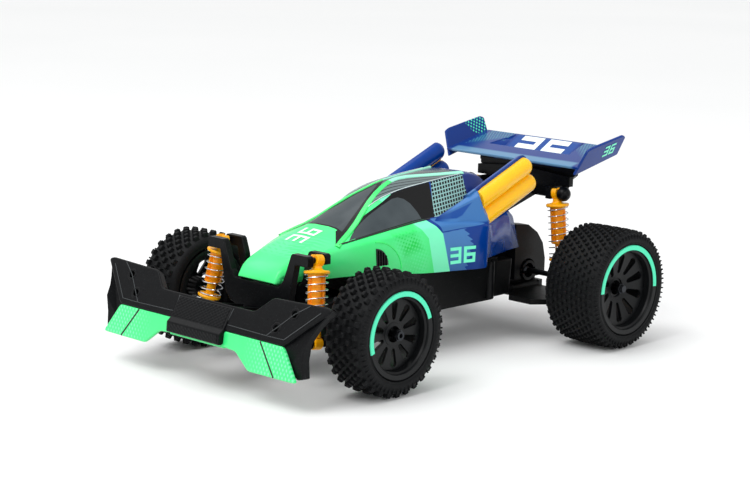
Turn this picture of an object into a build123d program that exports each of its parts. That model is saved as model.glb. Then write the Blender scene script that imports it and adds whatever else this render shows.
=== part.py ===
from build123d import *
import os
from math import acos, cos, pi, radians, sin, sqrt, tan

# Off-road racing buggy, radio controlled, about 1:18 scale.
# +X forward, +Y to the car's left, +Z up, millimetres.
# The origin is on the ground under the middle of the overall length.

os.makedirs("parts", exist_ok=True)

# ---------------------------------------------------------------- driving dimensions
LENGTH = 288.0
FRONT_END = LENGTH / 2
REAR_END = -LENGTH / 2

FRONT_AXLE_X, FRONT_AXLE_Z = 77.0, 33.0
REAR_AXLE_X, REAR_AXLE_Z = -100.5, 34.55

FRONT_WHEEL = dict(radius=33.0, flange=23.2, barrel=20.0, inner=59.9, outer=86.6, disc=80.5, bore=1.55,
                   knobs=20, rows=4, knob_height=1.7)
REAR_WHEEL = dict(radius=34.55, flange=25.9, barrel=22.6, inner=59.8, outer=96.9, disc=87.5, bore=2.0,
                  knobs=26, rows=6, knob_height=1.4)

FLOOR_BOTTOM, FLOOR_TOP = 22.0, 23.8
TUB_REAR, TUB_FRONT, TUB_TOP = -66.0, 46.0, 46.0
TUB_HALF_WIDTH = 27.0
NOSE_HALF_WIDTH, NOSE_FRONT, NOSE_TOP = 12.5, 99.2, 34.0
DOOR_REAR, DOOR_FRONT, DOOR_HALF = -54.0, 12.0, 16.0
DOOR_HINGE_Z = 23.6
SWITCH_X, SWITCH_Y = 35.0, -12.6
REST_PAD_X = (16.0, 34.0)

FRONT_HINGE_Y, FRONT_HINGE_Z = 17.0, 27.5
KINGPIN_Y = 53.0
STEER_ARM = 11.0
REAR_HINGE_Y, REAR_HINGE_Z = 17.0, 24.0
HINGE_PIN_R = 1.25

FRONT_SHOCK_TOP = Vector(90.6, 37.0, 66.5)
FRONT_SHOCK_BOTTOM = Vector(97.0, 43.6, 24.5)
REAR_SHOCK_TOP = Vector(-112.0, 31.8, 81.1)
REAR_SHOCK_BOTTOM = Vector(-112.0, 37.1, 30.0)
SHOCK_PIN_R = 1.5
REAR_BALL_R = 2.0
SHOCK_EYE_GAP = 0.35

GEAR_MODULE = 0.5
PINION_TEETH, IDLER_LARGE_TEETH, IDLER_SMALL_TEETH, DRIVE_TEETH = 10, 36, 12, 38
GEAR_LINE_ANGLE = 35.0
RUNNING = 0.06

PIPE_R = 5.5
PIPE_SPACING = 10.6
PIPE_TILT = 22.4
PIPE_Y = 33.6
PIPE_FRONT_TOP = (-36.6, 89.3)
UPPER_PIPE_END, LOWER_PIPE_END = 46.5, 47.5

# x: (top z on the centre line, (y, z) of the upper edge, of the waist, of the side crease, of the lower edge)
SHELL_STATIONS = {
    99.0: (53.6, (13.2, 53.2), (14.0, 52.6), (14.2, 52.1), (14.3, 51.2)),
    96.0: (58.0, (13.8, 57.6), (15.2, 55.6), (15.6, 54.2), (15.8, 51.3)),
    91.0: (61.4, (14.0, 61.0), (17.2, 57.8), (17.6, 56.0), (17.8, 51.4)),
    72.0: (69.3, (12.0, 68.8), (20.5, 65.2), (21.6, 63.0), (22.2, 51.6)),
    60.5: (72.7, (11.0, 72.2), (22.0, 68.6), (24.2, 66.4), (25.8, 51.9)),
    51.5: (75.4, (10.1, 75.0), (23.6, 70.2), (26.4, 68.0), (28.4, 52.0)),
    32.0: (84.2, (11.0, 82.6), (26.0, 73.0), (29.8, 70.6), (31.6, 50.4)),
    16.9: (90.8, (12.0, 89.0), (26.6, 74.6), (31.0, 71.6), (33.0, 49.2)),
    2.0: (95.8, (13.0, 92.4), (26.8, 76.0), (31.8, 72.6), (34.0, 47.8)),
    -19.7: (97.6, (14.0, 94.8), (27.0, 77.0), (36.0, 73.5), (36.5, 46.9)),
    -37.0: (97.8, (14.2, 96.2), (26.6, 78.0), (41.0, 72.0), (39.5, 46.4)),
    -46.0: (97.4, (14.4, 96.8), (24.0, 80.0), (39.0, 71.0), (38.2, 46.1)),
    -69.5: (93.6, (14.0, 92.0), (20.0, 84.0), (30.0, 72.0), (28.5, 46.0)),
    -88.0: (78.5, (13.6, 77.5), (19.0, 76.5), (25.2, 70.0), (24.8, 46.0)),
}
SHELL_WALL = 1.3

WING_FRONT_X, WING_FRONT_Z = -105.5, 99.5
WING_SLOPE = 0.22
WING_HALF_SPAN = 51.7
RECESS_FRONT, RECESS_DEPTH, RECESS_HALF = -122.5, 6.5, 31.0

BUMPER_FOLD_X, BUMPER_FOLD_Z = 139.2, 34.5
BUMPER_RAKE = 0.56


# ---------------------------------------------------------------- helpers
def block(x0, x1, y0, y1, z0, z1):
    """Box between the given limits."""
    return Pos((x0 + x1) / 2, (y0 + y1) / 2, (z0 + z1) / 2) * Box(x1 - x0, y1 - y0, z1 - z0)


def rod_x(radius, x0, x1, y, z):
    return Pos((x0 + x1) / 2, y, z) * Rot(0, 90, 0) * Cylinder(radius, x1 - x0)


def rod_y(radius, y0, y1, x, z):
    return Pos(x, (y0 + y1) / 2, z) * Rot(90, 0, 0) * Cylinder(radius, y1 - y0)


def rod_z(radius, z0, z1, x, y):
    return Pos(x, y, (z0 + z1) / 2) * Cylinder(radius, z1 - z0)


def plate_x(points, x0, x1):
    """Outline in (y, z), extruded along X."""
    face = Plane.YZ * Polygon(*points, align=None)
    return Pos(x0, 0, 0) * extrude(face, x1 - x0, dir=(1, 0, 0))


def plate_y(points, y0, y1):
    """Outline in (x, z), extruded along Y."""
    face = Plane.XZ * Polygon(*points, align=None)
    return Pos(0, y0, 0) * extrude(face, y1 - y0, dir=(0, 1, 0))


def plate_z(points, z0, z1):
    """Outline in (x, y), extruded along Z."""
    return Pos(0, 0, z0) * extrude(Polygon(*points, align=None), z1 - z0, dir=(0, 0, 1))


def both_sides(points):
    """Half outline given from the centre outwards, closed by its mirror image."""
    return points + [(-y, z) for y, z in reversed(points)]


def mirrored(shape):
    return mirror(shape, about=Plane.XZ)


def solids_of(*shapes):
    found = []
    for shape in shapes:
        found.extend(shape.solids())
    return found


def save(name, *shapes):
    """One STEP per node: a single solid, or a group of separate solids."""
    pieces = solids_of(*shapes)
    node = pieces[0] if len(pieces) == 1 else Compound(children=pieces)
    export_step(node, f"parts/{name}.step")


def save_pair(name, shape):
    save(f"{name}_left", shape)
    save(f"{name}_right", mirrored(shape))


# ---------------------------------------------------------------- wheels
def revolve_y(points, x, z):
    """Profile in (radius, y) turned about the wheel axis."""
    face = Plane.XY * Polygon(*points, align=None)
    return Pos(x, 0, z) * revolve(face, axis=Axis.Y)


def tyre(wheel, x, z):
    """Hollow carcass with staggered tread knobs."""
    crown = wheel["radius"] - wheel["knob_height"]
    inner, outer = wheel["inner"], wheel["outer"]
    bead, flange, wall = wheel["barrel"], wheel["flange"] + 0.3, 2.0
    outside = [(bead, inner + 2.2), (flange, inner + 2.2), (flange, inner), (crown - 2.5, inner),
               (crown, inner + 2.5), (crown, outer - 2.5), (crown - 2.5, outer), (flange, outer),
               (flange, outer - 2.2), (bead, outer - 2.2)]
    inside = [(bead, outer - 2.2 - wall), (flange + wall, outer - 2.2 - wall), (crown - wall, outer - 4.5),
              (crown - wall, inner + 4.5), (flange + wall, inner + 2.2 + wall), (bead, inner + 2.2 + wall)]
    carcass = revolve_y(outside + inside, x, z)
    knobs = []
    pitch = (outer - inner - 3.0) / wheel["rows"]
    tangential = 0.5 * 2 * pi * wheel["radius"] / wheel["knobs"]
    for row in range(wheel["rows"]):
        y = inner + 1.5 + (row + 0.5) * pitch
        for k in range(wheel["knobs"]):
            turn = 360 / wheel["knobs"] * (k + 0.5 * (row % 2))
            height = wheel["knob_height"] + 1.0
            knob = Pos(0, y, wheel["radius"] - height / 2) * Box(tangential, 0.62 * pitch, height)
            knobs.append(Pos(x, 0, z) * Rot(0, turn, 0) * knob)
    return carcass + knobs


def teardrop(disc_r, depth):
    """One slot of the wheel disc, pointing at the hub, cut along Y."""
    near, far = 0.42 * disc_r, 0.80 * disc_r
    narrow, wide = 0.045 * disc_r, 0.11 * disc_r
    outline = [(-narrow, near), (narrow, near), (wide, far), (0.5 * wide, far + 0.09 * disc_r),
               (-0.5 * wide, far + 0.09 * disc_r), (-wide, far)]
    return plate_y(outline, -depth, depth)


def rim(wheel, x, z):
    """Barrel, two flanges, slotted disc and hub in one moulding."""
    inner, outer = wheel["inner"], wheel["outer"]
    seat, inside, flange = wheel["barrel"], wheel["barrel"] - 1.4, wheel["flange"]
    disc, bore = wheel["disc"], wheel["bore"]
    outline = [(bore, inner + 8), (5.5, inner + 8), (5.5, disc - 2), (inside, disc - 2), (inside, inner + 0.6),
               (flange - 0.6, inner + 0.6), (flange - 0.6, inner + 2.2), (seat, inner + 2.2),
               (seat, outer - 2.2), (flange, outer - 2.2), (flange, outer - 0.5), (inside + 0.4, outer - 0.5),
               (inside, disc), (6.2, disc), (6.2, disc + 1.2), (bore, disc + 1.2)]
    body = revolve_y(outline, x, z)
    slots = [Pos(x, disc, z) * Rot(0, 36 * k, 0) * teardrop(inside, 4) for k in range(10)]
    return body - slots


def wheel_nut(x, z, y0, axle_r):
    """Hexagon nut with a domed nylon collar."""
    hexagon = Plane.XZ * RegularPolygon(3.2, 6)
    nut = Pos(x, y0, z) * extrude(hexagon, 2.2, dir=(0, 1, 0))
    return nut + rod_y(2.4, y0 + 2.2, y0 + 3.2, x, z) - rod_y(axle_r, y0 - 1, y0 + 4, x, z)


def wheels():
    front, rear = FRONT_WHEEL, REAR_WHEEL
    save_pair("front_tyre", tyre(front, FRONT_AXLE_X, FRONT_AXLE_Z))
    save_pair("front_rim", rim(front, FRONT_AXLE_X, FRONT_AXLE_Z))
    save_pair("rear_tyre", tyre(rear, REAR_AXLE_X, REAR_AXLE_Z))
    save_pair("rear_rim", rim(rear, REAR_AXLE_X, REAR_AXLE_Z))
    save_pair("rear_nut", wheel_nut(REAR_AXLE_X, REAR_AXLE_Z, rear["disc"] + 1.2, 2.0))


# ---------------------------------------------------------------- front suspension and steering
def front_arm():
    """Lower arm with a C-shaped carrier for the knuckle and a pin for the shock."""
    x, y, z = FRONT_AXLE_X, FRONT_HINGE_Y, FRONT_HINGE_Z
    outline = [(74.0, y), (96.5, y), (92.0, 38), (92.0, 46.5), (82.0, 49), (81, 54), (79.5, 57), (74.5, 57),
               (73, 54), (73, 44)]
    arm = plate_z(outline, z - 1.5, z)
    arm += rod_x(3.0, 74.0, 96.5, y, z)
    arm += block(x - 4, x + 4, 43, 46.5, z - 1.5, 41.4)
    arm += block(x - 4, x + 4, 43, KINGPIN_Y, 38.4, 41.4) + rod_z(4, 38.4, 41.4, x, KINGPIN_Y)
    arm += block(x - 4, x + 4, 43, KINGPIN_Y, 24.5, 27.6) + rod_z(4, 24.5, 27.6, x, KINGPIN_Y)
    arm += block(85, 93.5, 40.5, 46.5, 22.5, z)
    arm += rod_x(SHOCK_PIN_R, 93, 101, FRONT_SHOCK_BOTTOM.Y, FRONT_SHOCK_BOTTOM.Z)
    arm += rod_x(2.5, 100.6, 102, FRONT_SHOCK_BOTTOM.Y, FRONT_SHOCK_BOTTOM.Z)
    arm -= rod_x(HINGE_PIN_R + RUNNING, 70, 100, y, z)
    arm -= rod_z(2.0 + RUNNING, 20, 50, x, KINGPIN_Y)
    return arm


def knuckle():
    """Steering knuckle: trunnions, axle boss and steering arm with its ball pin."""
    x, y = FRONT_AXLE_X, KINGPIN_Y
    body = rod_z(4.8, 28.0, 38.0, x, y) + rod_z(2.0, 24.3, 41.6, x, y)
    body += rod_y(3.6, y, 58.5, x, FRONT_AXLE_Z)
    body += block(x - STEER_ARM - 2, x - 3, y - 2, y + 2, 30.2, 32.6)
    body += rod_z(1.2, 24.6, 30.5, x - STEER_ARM, y)
    return body - rod_y(1.5, y - 4, 60, x, FRONT_AXLE_Z)


def front_axle():
    """Axle bolt screwed into the knuckle: shoulder behind the wheel and hexagon head outside it."""
    head_start = FRONT_WHEEL["disc"] + 1.5
    axle = rod_y(1.5, KINGPIN_Y - 4, head_start + 1, FRONT_AXLE_X, FRONT_AXLE_Z)
    axle += rod_y(2.6, 58.8, 67.4, FRONT_AXLE_X, FRONT_AXLE_Z)
    return axle + wheel_nut(FRONT_AXLE_X, FRONT_AXLE_Z, head_start, 1.2)


def tie_rod():
    """Link from the rack to the steering arm: fork at the rack, slotted eye outside."""
    x, y, z = FRONT_AXLE_X - STEER_ARM, FRONT_HINGE_Y, FRONT_HINGE_Z
    fork = rod_x(2.6, x - 3, x + 3, y, z) + block(x - 3, x + 3, y, y + 8, z - 1.5, z + 1.5)
    fork -= block(x - 1.4, x + 1.4, y - 4, y + 4.5, z - 4, z + 4)
    fork -= rod_x(1.1 + RUNNING, x - 4, x + 4, y, z)
    bar = block(x - 1.5, x + 2, y + 7, KINGPIN_Y - 2.5, z - 1.4, z + 1.4)
    eye = rod_z(3.2, z - 1.4, z + 1.4, x + 0.3, KINGPIN_Y)
    slot = rod_z(1.2 + 0.3, z - 3, z + 3, x, KINGPIN_Y) + rod_z(1.2 + 0.3, z - 3, z + 3, x + 0.7, KINGPIN_Y)
    slot += block(x, x + 0.7, KINGPIN_Y - 1.5, KINGPIN_Y + 1.5, z - 3, z + 3)
    return fork + bar + eye - slot


def steering_rack():
    """Sliding bar with a tongue and cross pin at each end and a slot for the servo lever."""
    x, y, z = FRONT_AXLE_X - STEER_ARM, FRONT_HINGE_Y, FRONT_HINGE_Z
    bar = block(x - 3.6, x + 3.0, -13.4, 13.4, z - 1.5, z + 1.5)
    for side in (-1, 1):
        tongue = rod_x(2.2, x - 1.0, x + 1.0, side * y, z)
        tongue += block(x - 1.0, x + 1.0, min(side * 13, side * y), max(side * 13, side * y), z - 1.5, z + 1.5)
        bar += tongue + rod_x(1.1, x - 3, x + 3, side * y, z)
    return bar - block(x - 2.3, x + 1.6, -1.45, 1.45, z - 3, z + 3)


def steering_lever():
    """Servo output lever with the pin that moves the rack."""
    pivot, pin = FRONT_AXLE_X - 2 * STEER_ARM, FRONT_AXLE_X - STEER_ARM
    lever = rod_z(3.2, 34.6, 37.0, pivot, 0) + rod_z(2.2, 34.6, 37.0, pin, 0)
    lever += block(pivot, pin, -1.8, 1.8, 34.6, 37.0)
    lever += rod_z(1.2, 26.4, 35.0, pin, 0)
    return lever - rod_z(1.5 + RUNNING, 30, 40, pivot, 0)


def steering_servo():
    """Closed servo box with its output shaft and two fixing ears."""
    pivot = FRONT_AXLE_X - 2 * STEER_ARM
    box = block(pivot - 16, pivot + 5, -8, 8, FLOOR_TOP, 34.2)
    box += rod_z(1.5, 34.0, 38.2, pivot, 0)
    return box + block(pivot - 14, pivot - 8, -10.2, 10.2, FLOOR_TOP, 26.2)


def front_end():
    save_pair("front_arm", front_arm())
    save_pair("steering_knuckle", knuckle())
    save_pair("front_axle", front_axle())
    save_pair("tie_rod", tie_rod())
    save("steering_rack", steering_rack())
    save("steering_lever", steering_lever())
    save("steering_servo", steering_servo())


# ---------------------------------------------------------------- shock absorbers
def shock_frame(top, bottom):
    """Local frame at the top pin, with its Z axis running down the shock."""
    along = (bottom - top).normalized()
    return Plane(origin=top, x_dir=Vector(0, 1, 0).cross(along), z_dir=along)


def along_shock(frame, radius, start, end):
    return frame * (Pos(0, 0, (start + end) / 2) * Cylinder(radius, end - start))


def shock_cylinder(top, bottom, seat, end):
    """Hook over the top pin, neck, spring seat and hollow tube."""
    frame = shock_frame(top, bottom)
    if top.X > 0:
        hook = rod_x(3.4, top.X - 2.8, top.X + 2.8, top.Y, top.Z)
        bore = rod_x(SHOCK_PIN_R + RUNNING, top.X - 4, top.X + 4, top.Y, top.Z)
    else:
        hook = rod_y(3.8, top.Y - 2.2, top.Y + 2.2, top.X, top.Z)
        bore = rod_y(REAR_BALL_R + RUNNING, top.Y - 4, top.Y + 4, top.X, top.Z)
    body = hook + along_shock(frame, 2.4, 0, seat + 1)
    body += along_shock(frame, 6.8, seat - 0.8, seat + 0.8)
    body += along_shock(frame, 4.6, seat, end)
    body -= along_shock(frame, 2.6, seat + 2.2, end + 1)
    return body - bore


def shock_piston(top, bottom, start, perch):
    """Piston rod with the lower spring perch and the lower eye."""
    frame = shock_frame(top, bottom)
    length = (bottom - top).length
    body = along_shock(frame, 2.4, start, length - 2.6)
    body += along_shock(frame, 6.2, perch, perch + 1.6)
    body += rod_x(3.3, bottom.X - 2.8, bottom.X + 2.8, bottom.Y, bottom.Z)
    return body - rod_x(SHOCK_PIN_R + SHOCK_EYE_GAP, bottom.X - 4, bottom.X + 4, bottom.Y, bottom.Z)


def shock_spring(top, bottom, start, end, turns):
    """Round-wire helix between the seat and the perch."""
    wire, coil = 0.35, 5.7
    height = end - start - 2 * wire - 0.1
    path = Helix(pitch=height / turns, height=height, radius=coil)
    section = Plane(origin=path @ 0, z_dir=path % 0) * Circle(wire)
    spring = sweep(section, path=path, is_frenet=True)
    return shock_frame(top, bottom) * (Pos(0, 0, start + wire + 0.05) * spring)


def shocks():
    places = {"front": (FRONT_SHOCK_TOP, FRONT_SHOCK_BOTTOM, 6.5, 24.0, 13.0, 31.0, 7),
              "rear": (REAR_SHOCK_TOP, REAR_SHOCK_BOTTOM, 7.4, 30.0, 16.0, 38.5, 9)}
    for end, (top, bottom, seat, tube_end, rod_start, perch, turns) in places.items():
        save_pair(f"{end}_shock_cylinder", shock_cylinder(top, bottom, seat, tube_end))
        save_pair(f"{end}_shock_piston", shock_piston(top, bottom, rod_start, perch))
        save_pair(f"{end}_shock_spring", shock_spring(top, bottom, seat + 0.8, perch, turns))


def front_shock_tower():
    """Two U-shaped plates joined by a web, with block heads that carry the upper shock pins."""
    tower = Part()
    for x0, x1, widen in ((94.8, 99.0, 0.0), (82.5, 86.4, 3.0)):
        inner = [(17.0 + widen, 50.0), (20.3 + 0.6 * widen, 54.0), (23.1, 60.7), (26.0, 68.6), (27.0, 69.4)]
        outer = [(38.0, 69.4), (38.9, 68.6), (38.9, 63.7), (29.3, 63.7), (24.6, 42.0), (20.5, 37.0),
                 (10.0, 34.0)]
        tower += plate_x(both_sides(inner + outer), x0, x1)
    tower += block(86, 95, -10, 10, 34.0, 50.0)
    for side in (-1, 1):
        tower += rod_x(SHOCK_PIN_R, 86, 95, side * FRONT_SHOCK_TOP.Y, FRONT_SHOCK_TOP.Z)
    return tower


def rear_shock_tower():
    """Cross plate on a forward arm that stands on the gearbox; each end carries a ball pin with a domed head."""
    half = [(10.2, 92.5), (36.0, 90.4), (36.0, 84.6), (29.2, 84.6), (29.2, 77.0), (10.2, 77.0)]
    tower = plate_x(both_sides(half), -121.5, -118.0)
    arm = [(-118.5, 77.0), (-118.5, 84.0), (-98.0, 78.0), (-84.5, 72.5), (-84.5, 60.5), (-92.0, 60.5),
           (-92.0, 69.2), (-96.7, 70.6)]
    tower += plate_y(arm, -10.2, 10.2)
    x, y, z = REAR_SHOCK_TOP.X, REAR_SHOCK_TOP.Y, REAR_SHOCK_TOP.Z
    for side in (-1, 1):
        y0, y1 = sorted((side * 25.4, side * (y - 2.6)))
        tower += block(-118.2, x + 3.0, y0, y1, z - 3.6, z + 3.4)
        tower += rod_y(SHOCK_PIN_R, *sorted((side * 28.0, side * (y + 3.6))), x, z)
        tower += Pos(x, side * y, z) * Rot(0, 0, 40) * Sphere(REAR_BALL_R)
        h0, h1 = sorted((side * (y + 3.1), side * (y + 8.0)))
        head = Pos(x, side * (y + 3.1), z) * Rot(0, 0, 40) * Sphere(4.0)
        tower += head & block(x - 5, x + 5, h0, h1, z - 5, z + 5)
    return tower


# ---------------------------------------------------------------- rear suspension and drive
def rear_arm():
    """Wide lower arm with the hub carrier and the lug of the shock pin."""
    x, y, z = REAR_AXLE_X, REAR_HINGE_Y, REAR_HINGE_Z
    outline = [(-112.5, y), (-89, y), (-89, 21), (-84, 21.8), (-75, 28.5), (-75, 45), (-90, 57), (-111, 57),
               (-112.5, 45)]
    arm = plate_z(outline, z - 3, z)
    arm += rod_x(3.0, -112.5, -88.5, y, z)
    arm += block(x - 7, x + 7, 46, 57, z - 3, 34.5) + rod_y(7.0, 46, 57, x, REAR_AXLE_Z)
    bottom = REAR_SHOCK_BOTTOM
    arm += block(-108.2, -105.6, bottom.Y - 3.5, bottom.Y + 3.5, z - 1, bottom.Z + 3)
    arm += rod_x(SHOCK_PIN_R, -116.4, -107, bottom.Y, bottom.Z)
    arm += rod_x(2.5, -117, -115.6, bottom.Y, bottom.Z)
    arm -= rod_x(HINGE_PIN_R + RUNNING, -116, -85, y, z)
    return arm - rod_y(2.6 + RUNNING, 40, 60, x, REAR_AXLE_Z)


def rear_axle():
    """Drive shaft: ball and cross pin in the outdrive cup, journal, hexagon and thread end."""
    x, z = REAR_AXLE_X, REAR_AXLE_Z
    thread_end = REAR_WHEEL["disc"] + 5
    profile = [(0, 21.0), (1.6, 21.0), (1.6, 45.0), (2.6, 45.0), (2.6, 58.0), (3.6, 58.0), (3.6, 67.7),
               (2.0, 67.7), (2.0, thread_end), (0, thread_end)]
    ball = Pos(x, 19, z) * Sphere(3.0)
    return revolve_y(profile, x, z) + ball + rod_x(0.8, x - 5.2, x + 5.2, 19, z)


def involute_flank(base, pitch_r, tip, half_angle):
    """Three points of one tooth flank as (radius, angle from the tooth's centre line)."""
    def involute(radius):
        pressure = acos(min(1.0, base / radius))
        return tan(pressure) - pressure
    start = max(base, pitch_r - 1.0 * GEAR_MODULE)
    radii = [start, (start + tip) / 2, tip]
    return [(r, half_angle + involute(pitch_r) - involute(r)) for r in radii]


def gear(teeth, y0, y1, turn=0.0, backlash=0.12):
    """Spur gear about the Y axis; turn is in teeth, counted from a tooth pointing along +X."""
    pitch_r = teeth * GEAR_MODULE / 2
    root, tip = pitch_r - 1.25 * GEAR_MODULE, pitch_r + 0.9 * GEAR_MODULE
    base = pitch_r * cos(radians(20))
    half_angle = pi / (2 * teeth) - backlash / (2 * pitch_r)
    flank = involute_flank(base, pitch_r, tip, half_angle)
    edges = []
    last = None
    for k in range(teeth):
        middle = 2 * pi * (k + turn) / teeth
        rising = [(r * cos(middle - a), r * sin(middle - a)) for r, a in flank]
        falling = [(r * cos(middle + a), r * sin(middle + a)) for r, a in reversed(flank)]
        foot_a = flank[0][1]
        feet = [(root * cos(middle + s * foot_a), root * sin(middle + s * foot_a)) for s in (-1, 1)]
        if last is not None:
            edges.append(Line(last, feet[0]))
        else:
            first = feet[0]
        edges.append(Line(feet[0], rising[0]))
        edges.append(ThreePointArc(*rising))
        edges.append(Line(rising[-1], falling[0]))
        edges.append(ThreePointArc(*falling))
        edges.append(Line(falling[-1], feet[1]))
        last = feet[1]
    edges.append(Line(last, first))
    outline = Plane.XZ * make_face(Wire(edges))
    return Pos(0, y0, 0) * extrude(outline, y1 - y0, dir=(0, 1, 0))


def gear_places():
    """Shaft centres in (x, z) of the drive gear, the idler and the motor pinion."""
    lean = radians(GEAR_LINE_ANGLE)
    to_idler = (DRIVE_TEETH + IDLER_SMALL_TEETH) * GEAR_MODULE / 2
    to_pinion = (IDLER_LARGE_TEETH + PINION_TEETH) * GEAR_MODULE / 2
    drive = (REAR_AXLE_X, REAR_AXLE_Z)
    idler = (drive[0] + to_idler * cos(lean), drive[1] + to_idler * sin(lean))
    pinion = (idler[0] + to_pinion * cos(lean), idler[1] + to_pinion * sin(lean))
    return drive, idler, pinion


def set_on_line(shape, place):
    """Turns a gear so that its +X tooth lies on the line of centres, and puts it in place."""
    return Pos(place[0], 0, place[1]) * Rot(0, -GEAR_LINE_ANGLE, 0) * shape


def drive_gear():
    """Locked differential: spur gear, housing and an outdrive cup on each side."""
    drive, _, _ = gear_places()
    body = gear(DRIVE_TEETH, 8, 11) + rod_y(6.5, -9, 4, 0, 0) + rod_y(2.7, -12, 12, 0, 0)
    for side in (-1, 1):
        y0, y1 = sorted((side * 11.5, side * 22.0))
        cup = rod_y(6.0, y0, y1, 0, 0)
        b0, b1 = sorted((side * 14.0, side * 23.0))
        s0, s1 = sorted((side * 15.2, side * 23.0))
        body += cup - rod_y(4.4, b0, b1, 0, 0)
        body -= Rot(0, GEAR_LINE_ANGLE, 0) * block(-8, 8, s0, s1, -1.5, 1.5)
    return set_on_line(body, drive)


def idler_gear():
    """Compound idler: the large wheel meets the pinion and the small one the drive gear."""
    _, idler, _ = gear_places()
    large = gear(IDLER_LARGE_TEETH, 5, 7.5)
    small_phase = 0.5 if IDLER_SMALL_TEETH % 2 == 0 else 0.0
    small = gear(IDLER_SMALL_TEETH, 7.4, 11, turn=small_phase)
    shaft = rod_y(1.5, -11.9, 11.9, 0, 0)
    return set_on_line(large + small + shaft, idler)


def motor_pinion():
    """Pinion on the motor shaft."""
    _, _, pinion = gear_places()
    phase = 0.5 if PINION_TEETH % 2 == 0 else 0.0
    body = gear(PINION_TEETH, 4.8, 7.5, turn=phase) - rod_y(1.0 + RUNNING, 0, 12, 0, 0)
    return set_on_line(body, pinion)


def motor():
    """Can motor with flats top and bottom, bearing boss, shaft and end cap."""
    _, _, (x, z) = gear_places()
    can = rod_y(10.0, -17.0, 3.6, x, z) & block(x - 10, x + 10, -30, 30, z - 8.5, z + 8.5)
    can += rod_y(8.0, -20.0, -17.0, x, z)
    return can + rod_y(2.6, 3.6, 4.5, x, z) + rod_y(1.0, 4.0, 9.0, x, z)


def gearbox_outline(inset):
    """Side outline of the casing in (x, z)."""
    g = inset
    return [(-66.5 - g, 24.0 + g), (-66.5 - g, 58.0 - g), (-70.5 - g, 60.5 - g), (-94.0 - g, 60.5 - g),
            (-108.0 + g, 54.5 - g), (-117.5 + g, 46.0 - g), (-117.5 + g, 28.0 + g), (-113.0 + g, 21.0 + g),
            (-71.0 - g, 21.0 + g)]


def gearbox_half(side):
    """Half casing, split on the car's centre plane."""
    y0, y1 = sorted((0.0, side * 13.5))
    i0, i1 = sorted((-side * 0.1, side * 12.0))
    shell = plate_y(gearbox_outline(0), y0, y1) - plate_y(gearbox_outline(1.6), i0, i1)
    drive, idler, pinion = gear_places()
    shell += rod_y(8.0, *sorted((side * 10.8, side * 13.5)), *drive) if side < 0 else Part()
    shell -= rod_y(6.0 + RUNNING, *sorted((side * 10, side * 15)), *drive)
    shell += rod_y(3.0, *sorted((side * 11.0, side * 12.2)), *idler) if side < 0 else Part()
    shell -= rod_y(1.5 + RUNNING, *sorted((side * 10, side * 12.4)), *idler)
    if side < 0:
        shell -= rod_y(10.0, -15, -11, *pinion)
    else:
        cover = [(-88.5, 30.0), (-88.5, 63.5), (-100.0, 62.0), (-108.5, 56.5), (-114.0, 49.5), (-116.5, 40.0),
                 (-116.5, 30.0)]
        shell += plate_y(cover, 13.0, 21.0) - rod_y(7.0, 12.0, 22.0, *drive)
    for x0 in (-88.0, -116.2):
        lug = block(x0, x0 + 3.2, *sorted((side * 13, side * 19.8)), 21.2, 26.8)
        shell += lug - rod_x(HINGE_PIN_R, x0 - 1, x0 + 5, side * REAR_HINGE_Y, REAR_HINGE_Z)
    return shell


def rear_end():
    save_pair("rear_arm", rear_arm())
    save_pair("rear_axle", rear_axle())
    save("drive_gear", drive_gear())
    save("idler_gear", idler_gear())
    save("motor_pinion", motor_pinion())
    save("motor", motor())
    save("gearbox_casing_left", gearbox_half(1))
    save("gearbox_casing_right", gearbox_half(-1))
    save("rear_shock_tower", rear_shock_tower())


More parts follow.
